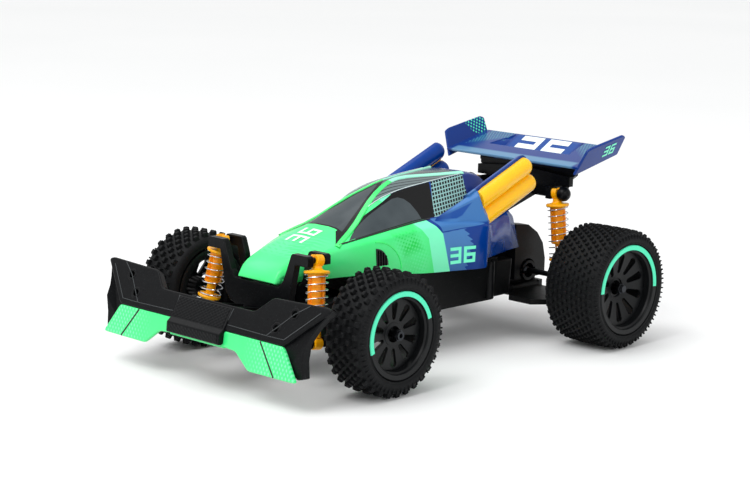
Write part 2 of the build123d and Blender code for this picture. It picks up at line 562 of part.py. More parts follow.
# ---------------------------------------------------------------- chassis
def chassis_tub():
    """Open tub with a narrow nose; the nose carries the front hinge lugs."""
    x0, x1, top = TUB_REAR, TUB_FRONT, TUB_TOP
    half, low = TUB_HALF_WIDTH, TUB_HALF_WIDTH - 3.0
    outside = both_sides([(half, top), (low, FLOOR_BOTTOM)])
    inside = both_sides([(half - 1.7, top + 1), (low - 1.7, FLOOR_TOP)])
    tub = plate_x(outside, x0, x1) - plate_x(inside, x0 + 1.8, x1 - 1.8)
    nose = NOSE_HALF_WIDTH
    tub += block(x1 - 1, NOSE_FRONT, -nose, nose, FLOOR_BOTTOM, FLOOR_TOP)
    for side in (-1, 1):
        y0, y1 = sorted((side * (nose - 1.6), side * nose))
        tub += block(x1 - 1, NOSE_FRONT, y0, y1, FLOOR_BOTTOM, NOSE_TOP)
        for lug in ((71.0, 73.6), (97.0, NOSE_FRONT)):
            y0, y1 = sorted((side * (nose - 1), side * (FRONT_HINGE_Y + 2.8)))
            tub += block(*lug, y0, y1, FRONT_HINGE_Z - 3, FRONT_HINGE_Z + 3)
        for x in (-58, 28):
            tub += rod_z(2.6, FLOOR_TOP - 0.1, top, x, side * 18)
            tub -= rod_z(1.1, top - 5, top + 1, x, side * 18)
    tub += block(NOSE_FRONT - 2, NOSE_FRONT, -nose, nose, FLOOR_BOTTOM, NOSE_TOP)
    rack_x = FRONT_AXLE_X - STEER_ARM
    tub -= block(rack_x - 4.5, rack_x + 4.4, -nose - 1, nose + 1, FLOOR_TOP, NOSE_TOP + 1)
    tub -= block(x1 - 3, x1 + 1, -10.5, 10.5, FLOOR_TOP, 40)
    tub -= block(x0 - 1, x0 + 3, -12, 12, 34, top + 1)
    tub -= block(DOOR_REAR - 2.0, DOOR_FRONT + 0.3, -DOOR_HALF - 0.3, DOOR_HALF + 0.3, 20, FLOOR_TOP + 1)
    tub -= block(SWITCH_X - 4.5, SWITCH_X + 4.5, SWITCH_Y - 1.8, SWITCH_Y + 1.8, 20, FLOOR_TOP + 1)
    for side in (-1, 1):
        y0, y1 = sorted((side * (DOOR_HALF - 3.5), side * (DOOR_HALF + 3.0)))
        e0, e1 = sorted((side * (DOOR_HALF - 0.7), side * (DOOR_HALF + 3.0)))
        tub += block(DOOR_REAR - 3, DOOR_REAR + 1.6, e0, e1, FLOOR_TOP - 0.2, DOOR_HINGE_Z + 2.4)
        tub -= rod_y(1.0 + RUNNING, y0, y1, DOOR_REAR, DOOR_HINGE_Z)
    tub += block(*REST_PAD_X, -8, 8, FLOOR_BOTTOM - 0.6, FLOOR_BOTTOM)
    for side in (-1, 1):
        tub -= rod_x(HINGE_PIN_R, 70, 100, side * FRONT_HINGE_Y, FRONT_HINGE_Z)
    return tub


def chassis_cover():
    """Deck over the tub with four tabs that meet the inside of the body shell."""
    cover = block(TUB_REAR + 0.4, TUB_FRONT, -TUB_HALF_WIDTH, TUB_HALF_WIDTH, TUB_TOP, TUB_TOP + 1.6)
    for x in (8.0, -30.0):
        reach = shell_half_width(x) - 2.1
        cover += block(x - 4, x + 4, -reach, reach, TUB_TOP + 1.6, TUB_TOP + 3.6)
    for x in (30, 0, -20, -50):
        cover += block(x, x + 1.5, -22, 22, TUB_TOP + 1.5, TUB_TOP + 4)
    for side in (-1, 1):
        for x in (-58, 28):
            cover -= rod_z(1.1, TUB_TOP - 1, TUB_TOP + 3, x, side * 18)
    return cover


def battery_pack():
    """Two round cells side by side in a shrink sleeve, with the plug block at one end."""
    pack = rod_x(7.2, DOOR_REAR + 6, DOOR_FRONT - 6, 7.4, FLOOR_TOP + 9.4)
    pack += rod_x(7.2, DOOR_REAR + 6, DOOR_FRONT - 6, -7.4, FLOOR_TOP + 9.4)
    pack += block(DOOR_REAR + 6, DOOR_FRONT - 6, -7.4, 7.4, FLOOR_TOP + 3, FLOOR_TOP + 15.8)
    return pack + block(DOOR_FRONT - 6.5, DOOR_FRONT - 2, -5, 5, FLOOR_TOP + 5, FLOOR_TOP + 12)


def battery_door():
    """Door in the floor: hinge barrel with two stub pins at the rear and a finger lip in front."""
    door = block(DOOR_REAR + 2.4, DOOR_FRONT, -DOOR_HALF, DOOR_HALF, FLOOR_BOTTOM, FLOOR_TOP)
    door += rod_y(1.5, -DOOR_HALF + 1.2, DOOR_HALF - 1.2, DOOR_REAR, DOOR_HINGE_Z)
    door += rod_y(1.0, -DOOR_HALF - 2.6, DOOR_HALF + 2.6, DOOR_REAR, DOOR_HINGE_Z)
    web = [(DOOR_REAR, DOOR_HINGE_Z - 1.4), (DOOR_REAR, DOOR_HINGE_Z + 0.6), (DOOR_REAR + 4, FLOOR_TOP),
           (DOOR_REAR + 4, FLOOR_BOTTOM), (DOOR_REAR + 2.4, FLOOR_BOTTOM)]
    door += plate_y(web, -DOOR_HALF + 1.2, DOOR_HALF - 1.2)
    grip = block(DOOR_FRONT - 5, DOOR_FRONT - 2, -6, 6, FLOOR_BOTTOM - 1, FLOOR_BOTTOM + 0.9)
    ribs = [block(x, x + 1, -13, 13, FLOOR_TOP, FLOOR_TOP + 1) for x in (-38, -24, -10)]
    return door - grip + ribs


def circuit_board():
    """Receiver and motor driver board with its larger parts, on the front posts' side of the tub."""
    board = block(16, 38, -21, 21, 40.0, 41.4)
    parts = [block(20, 27, -12, -5, 41.4, 42.8), block(19, 33, 4, 9, 41.4, 45.0),
             block(30, 34, -3, 1, 41.4, 43.0), rod_z(2.4, 41.4, 45.2, 34, -13),
             rod_z(2.4, 41.4, 45.2, 21.5, -17.5)]
    board += parts
    for side in (-1, 1):
        board -= rod_z(2.7, 39, 42, 28, side * 18)
        board += block(16.5, 19, side * 19.5 - 1.2, side * 19.5 + 1.2, FLOOR_TOP, 40.0)
        board += block(35, 37.5, side * 19.5 - 1.2, side * 19.5 + 1.2, FLOOR_TOP, 40.0)
    return board


def power_switch():
    """Slider that shows through the floor, with wings above it that keep it in."""
    x, y = SWITCH_X, SWITCH_Y
    knob = block(x - 4.2, x + 1.2, y - 1.5, y + 1.5, FLOOR_BOTTOM + 0.4, FLOOR_TOP + 1)
    return knob + block(x - 5.4, x + 2.6, y - 2.5, y + 2.5, FLOOR_TOP + 0.2, FLOOR_TOP + 1.6)


def suspension_pins():
    """Four plain steel hinge pins."""
    front = rod_x(HINGE_PIN_R, 70.6, NOSE_FRONT, FRONT_HINGE_Y, FRONT_HINGE_Z)
    rear = rod_x(HINGE_PIN_R, -116.6, -84.6, REAR_HINGE_Y, REAR_HINGE_Z)
    return [front, mirrored(front), rear, mirrored(rear)]


def screw(x, y, z, length=6.0):
    """Pan-head screw driven down from z."""
    head = rod_z(1.9, z, z + 1.3, x, y) - rod_z(0.7, z + 0.7, z + 2, x, y)
    return head + rod_z(1.1, z - length, z, x, y)


def screws():
    """Cover screws and stay screws."""
    places = [(x, side * 18, TUB_TOP + 1.6) for x in (-58, 28) for side in (-1, 1)]
    pieces = [screw(*place) for place in places]
    for side in (-1, 1):
        pieces.append(rod_x(1.9, -126.3, -125.0, side * 9, 84))
    return pieces


def chassis():
    save("chassis_tub", chassis_tub())
    save("chassis_cover", chassis_cover())
    save("battery_pack", battery_pack())
    save("battery_door", battery_door())
    save("circuit_board", circuit_board())
    save("power_switch", power_switch())
    save("suspension_pins", *suspension_pins())
    save("screws", *screws())


# ---------------------------------------------------------------- body shell


def shell_half_width(x):
    """Half width of the shell's lower edge, between stations."""
    stations = sorted(SHELL_STATIONS)
    for rear, front in zip(stations, stations[1:]):
        if rear <= x <= front:
            share = (x - rear) / (front - rear)
            return (1 - share) * SHELL_STATIONS[rear][4][0] + share * SHELL_STATIONS[front][4][0]
    raise ValueError("no station there")


def shell_section(x, inset):
    """Closed outline of the shell at x, moved inwards by inset."""
    top, edge, waist, crease, low = SHELL_STATIONS[x]
    drop = 4.0 if inset else 0.0
    half = [(edge[0] - 0.4 * inset, edge[1] - inset), (waist[0] - inset, waist[1] - 0.9 * inset),
            (crease[0] - inset, crease[1] - 0.5 * inset), (low[0] - inset, low[1] - drop)]
    points = [(0, top - inset)] + half + [(-y, z) for y, z in reversed(half)]
    return Pos(x, 0, 0) * (Plane.YZ * Polygon(*points, align=None))


def pipe_frame(side):
    """Frame at the front top corner of a pipe pair: X runs back along the pipes, Z across the pair."""
    tilt = radians(PIPE_TILT)
    return Plane(origin=(PIPE_FRONT_TOP[0], side * PIPE_Y, PIPE_FRONT_TOP[1]),
                 x_dir=(-cos(tilt), 0, sin(tilt)), z_dir=(sin(tilt), 0, cos(tilt)))


def pipe_pair(upper_end, lower_end, start=0.0, radius=PIPE_R):
    """Two stacked round bars with domed ends, in the pipe frame."""
    pair = Part()
    for across, end in ((-PIPE_R, upper_end), (-PIPE_R - PIPE_SPACING, lower_end)):
        dome = end - radius
        pair += Pos((start + dome) / 2, 0, across) * Rot(0, 90, 0) * Cylinder(radius, dome - start)
        pair += Pos(dome, 0, across) * Rot(0, 0, 40) * Rot(0, 90, 0) * Sphere(radius)
    return pair


def outer_side(side):
    """Half space on the outer side of the pipes' centre plane, in the pipe frame."""
    facing = -side
    return Pos(25, facing * 10, -11) * Box(160, 20, 60)


def pod(side):
    """Inner half of the pipe fairing: blends from the waist up to the pipes."""
    pair = pipe_pair(UPPER_PIPE_END - SHELL_WALL, LOWER_PIPE_END - SHELL_WALL, start=-4.0)
    inner = pair - outer_side(side)
    stem_face = Plane(origin=(-2.0, 0, -11.0), x_dir=(0, 1, 0), z_dir=(-1, 0, 0)) * Rectangle(9.0, 20.0)
    nose_face = Plane(origin=(-29.0, 0.0, -6.5), x_dir=(0, 1, 0), z_dir=(-1, 0, 0)) * Rectangle(5.0, 5.0)
    fairing = loft([stem_face, nose_face], ruled=True)
    return pipe_frame(side) * (inner + fairing)


def body_shell():
    """Nose, hood, cabin, side panels and rear deck in one thin moulding, with both pipe fairings."""
    stations = sorted(SHELL_STATIONS, reverse=True)
    outside = loft([shell_section(x, 0) for x in stations], ruled=True)
    inside = loft([shell_section(x, SHELL_WALL) for x in stations], ruled=True)
    shell = outside
    for side in (-1, 1):
        shell += pod(side)
        shell -= pipe_frame(side) * (pipe_pair(UPPER_PIPE_END, LOWER_PIPE_END) & outer_side(side))
    front_cap = block(97.6, 100, -20, 20, 40, 60)
    shell -= inside - front_cap
    rear_cut = [(-78.3, 74.4), (-87.2, 50.4), (-87.2, 40), (-100, 40), (-100, 110), (-70, 110), (-72, 93)]
    shell -= plate_y(rear_cut, -60, 60)
    step = [(-47.5, 50.5), (-45.0, 46.2), (-45.0, 40), (-100, 40), (-100, 51.4)]
    return shell - plate_y(step, -60, 60)


def exhaust_pipes():
    """Outer halves of both pipe pairs."""
    halves = []
    for side in (-1, 1):
        pair = pipe_pair(UPPER_PIPE_END, LOWER_PIPE_END)
        halves.append(pipe_frame(side) * (pair & outer_side(side)))
    return halves


# ---------------------------------------------------------------- wing


def wing_top(x):
    return WING_FRONT_Z + WING_SLOPE * (WING_FRONT_X - x)


def endplate():
    """Endplate of the left side, leaning outwards."""
    def lean(x, z):
        return 48.9 + 0.4736 * (z - 95.5) + 0.0795 * (x + 105.5)
    outline = [(-105.0, 94.6), (-108.4, 109.5), (-112.0, 111.0), (-141.0, 116.2), (REAR_END, 115.2),
               (REAR_END, 104.0)]
    wire = Wire.make_polygon([(x, lean(x, z), z) for x, z in outline], close=True)
    return extrude(Face(wire), 1.6, dir=(0, 1, 0))


def rear_wing():
    """Inclined plane with a sunk middle and two endplates."""
    front, rear, thick = WING_FRONT_X, REAR_END, 1.8
    plane_outline = [(front, wing_top(front)), (rear, wing_top(rear)), (rear, wing_top(rear) - thick),
                     (front, wing_top(front) - thick)]
    wing = plate_y(plane_outline, -WING_HALF_SPAN, WING_HALF_SPAN)
    wing -= block(rear + 1.5, RECESS_FRONT, -RECESS_HALF, RECESS_HALF, 80, 120)
    floor_front = wing_top(RECESS_FRONT) - RECESS_DEPTH
    floor = [(RECESS_FRONT, floor_front), (rear + 1.5, wing_top(rear)), (rear + 1.5, wing_top(rear) - 1.6),
             (RECESS_FRONT, floor_front - 1.5)]
    wing += plate_y(floor, -RECESS_HALF, RECESS_HALF)
    wall = floor[:1] + [(RECESS_FRONT, wing_top(RECESS_FRONT)), (rear + 1.5, wing_top(rear))] + floor[2:]
    for side in (-1, 1):
        y0, y1 = sorted((side * RECESS_HALF, side * (RECESS_HALF + 1.2)))
        wing += plate_y(wall, y0, y1)
    wing += block(RECESS_FRONT, RECESS_FRONT + 1.2, -RECESS_HALF - 1.2, RECESS_HALF + 1.2, floor_front - 1.5,
                  wing_top(RECESS_FRONT) - 0.5)
    plate = endplate()
    return wing + plate + mirrored(plate)


def wing_stay():
    """Upright plate behind the shock tower with the sloping flange that carries the wing."""
    floor_front = wing_top(RECESS_FRONT) - RECESS_DEPTH - 1.5
    rise = (wing_top(REAR_END) - 1.6 - floor_front) / (RECESS_FRONT - REAR_END - 1.5)
    front, rear = -121.5, -133.0
    z_front, z_rear = (floor_front + rise * (RECESS_FRONT - x) for x in (front, rear))
    flange = [(front, z_front), (rear, z_rear), (rear, z_rear - 2.0), (front, z_front - 2.0)]
    stay = plate_y(flange, -37.6, 37.6)
    half = [(37.0, 93.9), (37.0, 91.0), (31.8, 87.0), (30.0, 81.0), (12.0, 79.0)]
    return stay + plate_x(both_sides(half), -125.0, -121.5)


def rear_top():
    save("rear_wing", rear_wing())
    save("wing_stay", wing_stay())


# ---------------------------------------------------------------- front bumper


def bumper_frame():
    """Front surface of the raked plate: X to the left, Y up the slope, Z forwards."""
    return Plane(origin=(BUMPER_FOLD_X, 0, BUMPER_FOLD_Z), x_dir=(0, 1, 0), z_dir=(1, 0, BUMPER_RAKE))


def on_bumper(y, z):
    """Place on the raked plate from its height above the ground."""
    return (y, (z - BUMPER_FOLD_Z) * sqrt(1 + BUMPER_RAKE ** 2))


def front_bumper():
    """Raked plate with two drilled ears, a deep rim, a raised middle and the arm to the chassis."""
    half = [on_bumper(y, z) for y, z in ((36.0, 45.6), (45.5, 53.6), (83.5, 54.8), (86.0, 53.0), (64.0, 33.6))]
    outline = Polygon(*(half + [(-y, v) for y, v in reversed(half)]), align=None)
    inner = offset(outline, amount=-2.2)
    back = (0, 0, -1)
    rim_wall = extrude(outline, 5.4, dir=back) - extrude(inner, 5.4, dir=back)
    plate = extrude(outline, 2.4, dir=back) + rim_wall
    for side in (-1, 1):
        for y, z in ((63.7, 48.4), (55.0, 40.4)):
            place = on_bumper(side * y, z)
            plate += Pos(place[0], place[1], -2.7) * Cylinder(3.2, 5.4)
            plate -= Pos(place[0], place[1], 0) * Cylinder(1.9, 14)
    middle = [on_bumper(y, z) for y, z in ((21.0, 44.6), (19.6, 34.0))]
    raised = Polygon(*(middle + [(-y, v) for y, v in reversed(middle)]), align=None)
    plate += extrude(raised, 0.8, dir=(0, 0, 1))
    bumper = bumper_frame() * plate
    bumper += block(138.0, FRONT_END, -19.7, 19.7, 26.6, 34.0) & plate_y(
        [(FRONT_END, 26.6), (FRONT_END - 0.5, 31), (140.6, 34.0), (138.0, 34.0), (138.0, 26.6)], -20, 20)
    backing = both_sides([(63.0, 34.5), (73.0, 18.6), (41.5, 18.6), (31.5, 26.4)])
    bumper += plate_x(backing, 135.0, 137.4)
    for side in (-1, 1):
        fin = [(62, 34), (85.6, 54), (85.4, 50.5), (79, 41), (75.6, 33), (75.0, 25), (76.6, 17.4), (72.0, 17.6),
               (62, 32)]
        bumper += plate_x([(side * y, z) for y, z in fin], 131.0, 137.4)
    bumper += block(NOSE_FRONT + 0.1, 136, -11, 11, 26.0, 41.0)
    return bumper


def bumper_skirt():
    """Coloured lower panel in front of the bumper's backing plate."""
    half = [(63.6, 32.4), (74.9, 17.0), (40.6, 17.0), (30.2, 24.8)]
    skirt = plate_x(both_sides(half), 137.4, 143.2)
    lean = [(137.4, 33), (139.6, 33), (142.2, 16), (139.8, 16)]
    skirt &= plate_y(lean, -80, 80)
    skirt -= block(130, 150, -20.0, 20.0, 26.3, 40)
    return skirt


def front_top():
    save("front_shock_tower", front_shock_tower())
    save("front_bumper", front_bumper())
    save("bumper_skirt", bumper_skirt())


# ---------------------------------------------------------------- build
if __name__ == "__main__":
    wheels()
    front_end()
    shocks()
    front_top()
    rear_end()
    rear_top()
    chassis()
    save("body_shell", body_shell())
    save("exhaust_pipes", *exhaust_pipes())
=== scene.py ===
from math import asin, cos, hypot, pi, radians, sin, sqrt

import bmesh
import bpy
from mathutils import Matrix, Vector


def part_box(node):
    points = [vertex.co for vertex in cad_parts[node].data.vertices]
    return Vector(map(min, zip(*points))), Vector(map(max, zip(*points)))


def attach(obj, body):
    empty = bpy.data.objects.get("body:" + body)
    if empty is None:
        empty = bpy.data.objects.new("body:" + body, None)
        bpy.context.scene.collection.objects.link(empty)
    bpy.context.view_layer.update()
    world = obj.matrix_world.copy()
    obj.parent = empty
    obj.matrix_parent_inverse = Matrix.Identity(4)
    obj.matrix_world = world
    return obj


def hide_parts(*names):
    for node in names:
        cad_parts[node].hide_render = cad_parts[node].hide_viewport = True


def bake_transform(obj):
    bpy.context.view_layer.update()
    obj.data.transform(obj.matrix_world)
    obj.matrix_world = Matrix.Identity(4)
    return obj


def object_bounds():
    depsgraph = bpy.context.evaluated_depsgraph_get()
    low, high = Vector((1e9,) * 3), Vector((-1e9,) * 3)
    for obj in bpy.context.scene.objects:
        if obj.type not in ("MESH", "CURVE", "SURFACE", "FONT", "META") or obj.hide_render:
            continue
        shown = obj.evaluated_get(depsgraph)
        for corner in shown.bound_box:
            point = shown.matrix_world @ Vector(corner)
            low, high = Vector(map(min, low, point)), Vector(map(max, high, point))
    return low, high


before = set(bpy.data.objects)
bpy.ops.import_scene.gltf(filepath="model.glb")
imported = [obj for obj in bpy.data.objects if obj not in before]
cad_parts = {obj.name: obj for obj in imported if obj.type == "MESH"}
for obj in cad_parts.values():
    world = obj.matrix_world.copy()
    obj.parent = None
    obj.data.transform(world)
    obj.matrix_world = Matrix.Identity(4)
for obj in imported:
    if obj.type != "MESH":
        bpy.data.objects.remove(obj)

# Looks of an off-road racing buggy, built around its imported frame.
# Every size here is in millimetres in the part's frame: +X forward, +Y to the car's left, +Z up.
CAD_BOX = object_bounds()
MM = 0.001
SIDES = {"left": 1, "right": -1}


def node_box(name):
    """Lowest and highest corner of a CAD node, in millimetres."""
    low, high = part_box(name)
    return low / MM, high / MM


def centre_of(name):
    """Middle of a CAD node's box, in millimetres."""
    low, high = node_box(name)
    return (low + high) / 2


# ---------------------------------------------------------------- mesh helpers
def add_object(name, mesh, material, body, replaces=()):
    """Puts a finished mesh, in metres, on a body of the car."""
    mesh.materials.append(material)
    piece = bpy.data.objects.new(name, mesh)
    bpy.context.scene.collection.objects.link(piece)
    if body:
        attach(piece, body)
    if replaces:
        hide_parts(*replaces)
    return piece


def shade(mesh, angle):
    """Smooth shading, with edges sharper than the angle in degrees kept crisp."""
    mesh.polygons.foreach_set("use_smooth", [True] * len(mesh.polygons))
    mesh.set_sharp_from_angle(angle=radians(angle))


def build(name, points, faces, material, body, slot=None, replaces=(), sharp=32, weld=0.0):
    """Mesh from points in millimetres and faces by index, with outward normals."""
    mesh = bpy.data.meshes.new(name)
    mesh.from_pydata([Vector(p) * MM for p in points], [], faces)
    shape = bmesh.new()
    shape.from_mesh(mesh)
    if weld:
        bmesh.ops.remove_doubles(shape, verts=shape.verts, dist=weld * MM)
    bmesh.ops.recalc_face_normals(shape, faces=shape.faces)
    shape.to_mesh(mesh)
    shape.free()
    mesh.validate()
    shade(mesh, sharp)
    return add_object(name, mesh, material, body, replaces)


def grid(rows, closed=False, caps=False):
    """Points and quads of a surface given row by row; closed joins the last column to the first."""
    points = [p for row in rows for p in row]
    n = len(rows[0])
    faces = []
    for i in range(len(rows) - 1):
        for j in range(n if closed else n - 1):
            k = (j + 1) % n
            faces.append((i * n + j, i * n + k, (i + 1) * n + k, (i + 1) * n + j))
    if caps:
        faces.append(tuple(range(n)))
        faces.append(tuple((len(rows) - 1) * n + j for j in reversed(range(n))))
    return points, faces


def join(*parts):
    """One list of points and faces out of several (points, faces) pairs."""
    points, faces = [], []
    for some_points, some_faces in parts:
        start = len(points)
        points.extend(some_points)
        faces.extend(tuple(start + i for i in face) for face in some_faces)
    return points, faces


def turned(profile, centre, steps):
    """Solid of revolution about the Y axis through centre, from a closed list of (radius, y)."""
    cx, _, cz = centre
    rows = []
    for k in range(steps):
        a = 2 * pi * k / steps
        rows.append([(cx + r * cos(a), y, cz + r * sin(a)) for r, y in profile])
    rows.append(rows[0])
    return grid(rows, closed=True)


def box_shape(frame_matrix, size, taper, chamfer):
    """Block with a smaller, chamfered top, standing on the frame's XY plane."""
    sx, sy, sz = size[0] / 2, size[1] / 2, size[2]
    levels = [(0.0, 0.0), (sz - chamfer, taper * (1 - chamfer / sz)), (sz, taper + chamfer)]
    rows = []
    for z, inset in levels:
        x, y = sx - inset, sy - inset
        rows.append([frame_matrix @ Vector(p) for p in ((x, y, z), (-x, y, z), (-x, -y, z), (x, -y, z))])
    return grid(rows, closed=True, caps=True)


def frame_at(origin, x_dir, normal):
    """Matrix with its X along x_dir and its Z along normal."""
    z = Vector(normal).normalized()
    x = Vector(x_dir)
    x = (x - z * x.dot(z)).normalized()
    y = z.cross(x)
    m = Matrix((x, y, z)).transposed().to_4x4()
    m.translation = Vector(origin)
    return m


def sweep(points, profile, ups):
    """Profile of (across, up) carried along a path; ups gives the up direction at each point."""
    rows = []
    n = len(points)
    vectors = [Vector(p) for p in points]
    for i, p in enumerate(vectors):
        before = vectors[i - 1] if i > 0 else p
        after = vectors[i + 1] if i < n - 1 else p
        along = (after - before).normalized()
        up = Vector(ups[i] if isinstance(ups, list) else ups)
        across = along.cross(up).normalized()
        up = across.cross(along)
        rows.append([p + across * a + up * b for a, b in profile])
    return grid(rows, closed=True, caps=True)


def circle(radius, steps):
    """Points round the origin."""
    return [(radius * cos(2 * pi * k / steps), radius * sin(2 * pi * k / steps)) for k in range(steps)]


def ring(centre, radius):
    """Circle round a centre."""
    return [(centre[0] + x, centre[1] + y) for x, y in circle(radius, 24)]


def plate(name, loops, thick, bevel, matrix, material, body, replaces=(), steps=2):
    """Flat plate with rounded edges; the first loop is its outline and the others are holes.
    The front face lies on the matrix's XY plane and the plate goes back from it."""
    curve = bpy.data.curves.new(name, "CURVE")
    curve.dimensions = "2D"
    curve.fill_mode = "BOTH"
    curve.extrude = thick / 2 - bevel
    curve.bevel_depth = bevel
    curve.bevel_resolution = steps
    curve.offset = -bevel
    for loop in loops:
        spline = curve.splines.new("POLY")
        spline.points.add(len(loop) - 1)
        for point, (x, y) in zip(spline.points, loop):
            point.co = (x, y, 0, 1)
        spline.use_cyclic_u = True
    source = bpy.data.objects.new(name + "_outline", curve)
    bpy.context.scene.collection.objects.link(source)
    bpy.context.view_layer.update()
    mesh = bpy.data.meshes.new_from_object(source.evaluated_get(bpy.context.evaluated_depsgraph_get()))
    bpy.data.objects.remove(source)
    bpy.data.curves.remove(curve)
    mesh.name = name
    mesh.transform(Matrix.Scale(MM, 4) @ matrix @ Matrix.Translation((0, 0, -thick / 2)))
    shape = bmesh.new()
    shape.from_mesh(mesh)
    bmesh.ops.remove_doubles(shape, verts=shape.verts, dist=1e-6)
    bmesh.ops.recalc_face_normals(shape, faces=shape.faces)
    shape.to_mesh(mesh)
    shape.free()
    mesh.materials.clear()
    shade(mesh, 40)
    piece = add_object(name, mesh, material, body, replaces)
    even_shading(piece)
    return piece


def rounded(points, reach, steps=3, closed=False):
    """Polyline with each corner replaced by a short curve that starts reach before it."""
    count = len(points)
    vectors = [Vector(p) for p in points]
    result = [] if closed else [vectors[0]]
    for i in range(count) if closed else range(1, count - 1):
        a, b, c = vectors[i - 1], vectors[i], vectors[(i + 1) % count]
        p = b + (a - b) * min(0.45, reach / max((a - b).length, 1e-6))
        q = b + (c - b) * min(0.45, reach / max((c - b).length, 1e-6))
        for k in range(steps):
            t = k / (steps - 1)
            result.append(p * (1 - t) ** 2 + b * 2 * t * (1 - t) + q * t * t)
    if not closed:
        result.append(vectors[-1])
    return [tuple(v) for v in result]


def mirrored(points):
    """The same points on the other side, in the order that carries a closed outline on."""
    return [(-y, z) for y, z in reversed(points)]


def join_pieces(name, pieces):
    """Makes one object of several plates and meshes that ride on the same body."""
    target = pieces[0]
    shape = bmesh.new()
    materials = []
    for piece in pieces:
        start = len(shape.faces)
        shape.from_mesh(piece.data)
        shape.faces.ensure_lookup_table()
        for face in shape.faces[start:]:
            material = piece.data.materials[face.material_index]
            if material not in materials:
                materials.append(material)
            face.material_index = materials.index(material)
    shape.to_mesh(target.data)
    shape.free()
    target.data.materials.clear()
    for material in materials:
        target.data.materials.append(material)
    for piece in pieces[1:]:
        bpy.data.objects.remove(piece)
    target.name = name
    return target


# ---------------------------------------------------------------- materials
def srgb(r, g, b):
    """Linear colour from 0-255 display values."""
    def linear(v):
        v /= 255
        return v / 12.92 if v <= 0.04045 else ((v + 0.055) / 1.055) ** 2.4
    return (linear(r), linear(g), linear(b), 1.0)


def scaled(colour, factor):
    """Colour made darker or lighter by a factor."""
    return tuple(min(1.0, c * factor) for c in colour[:3]) + (1.0,)


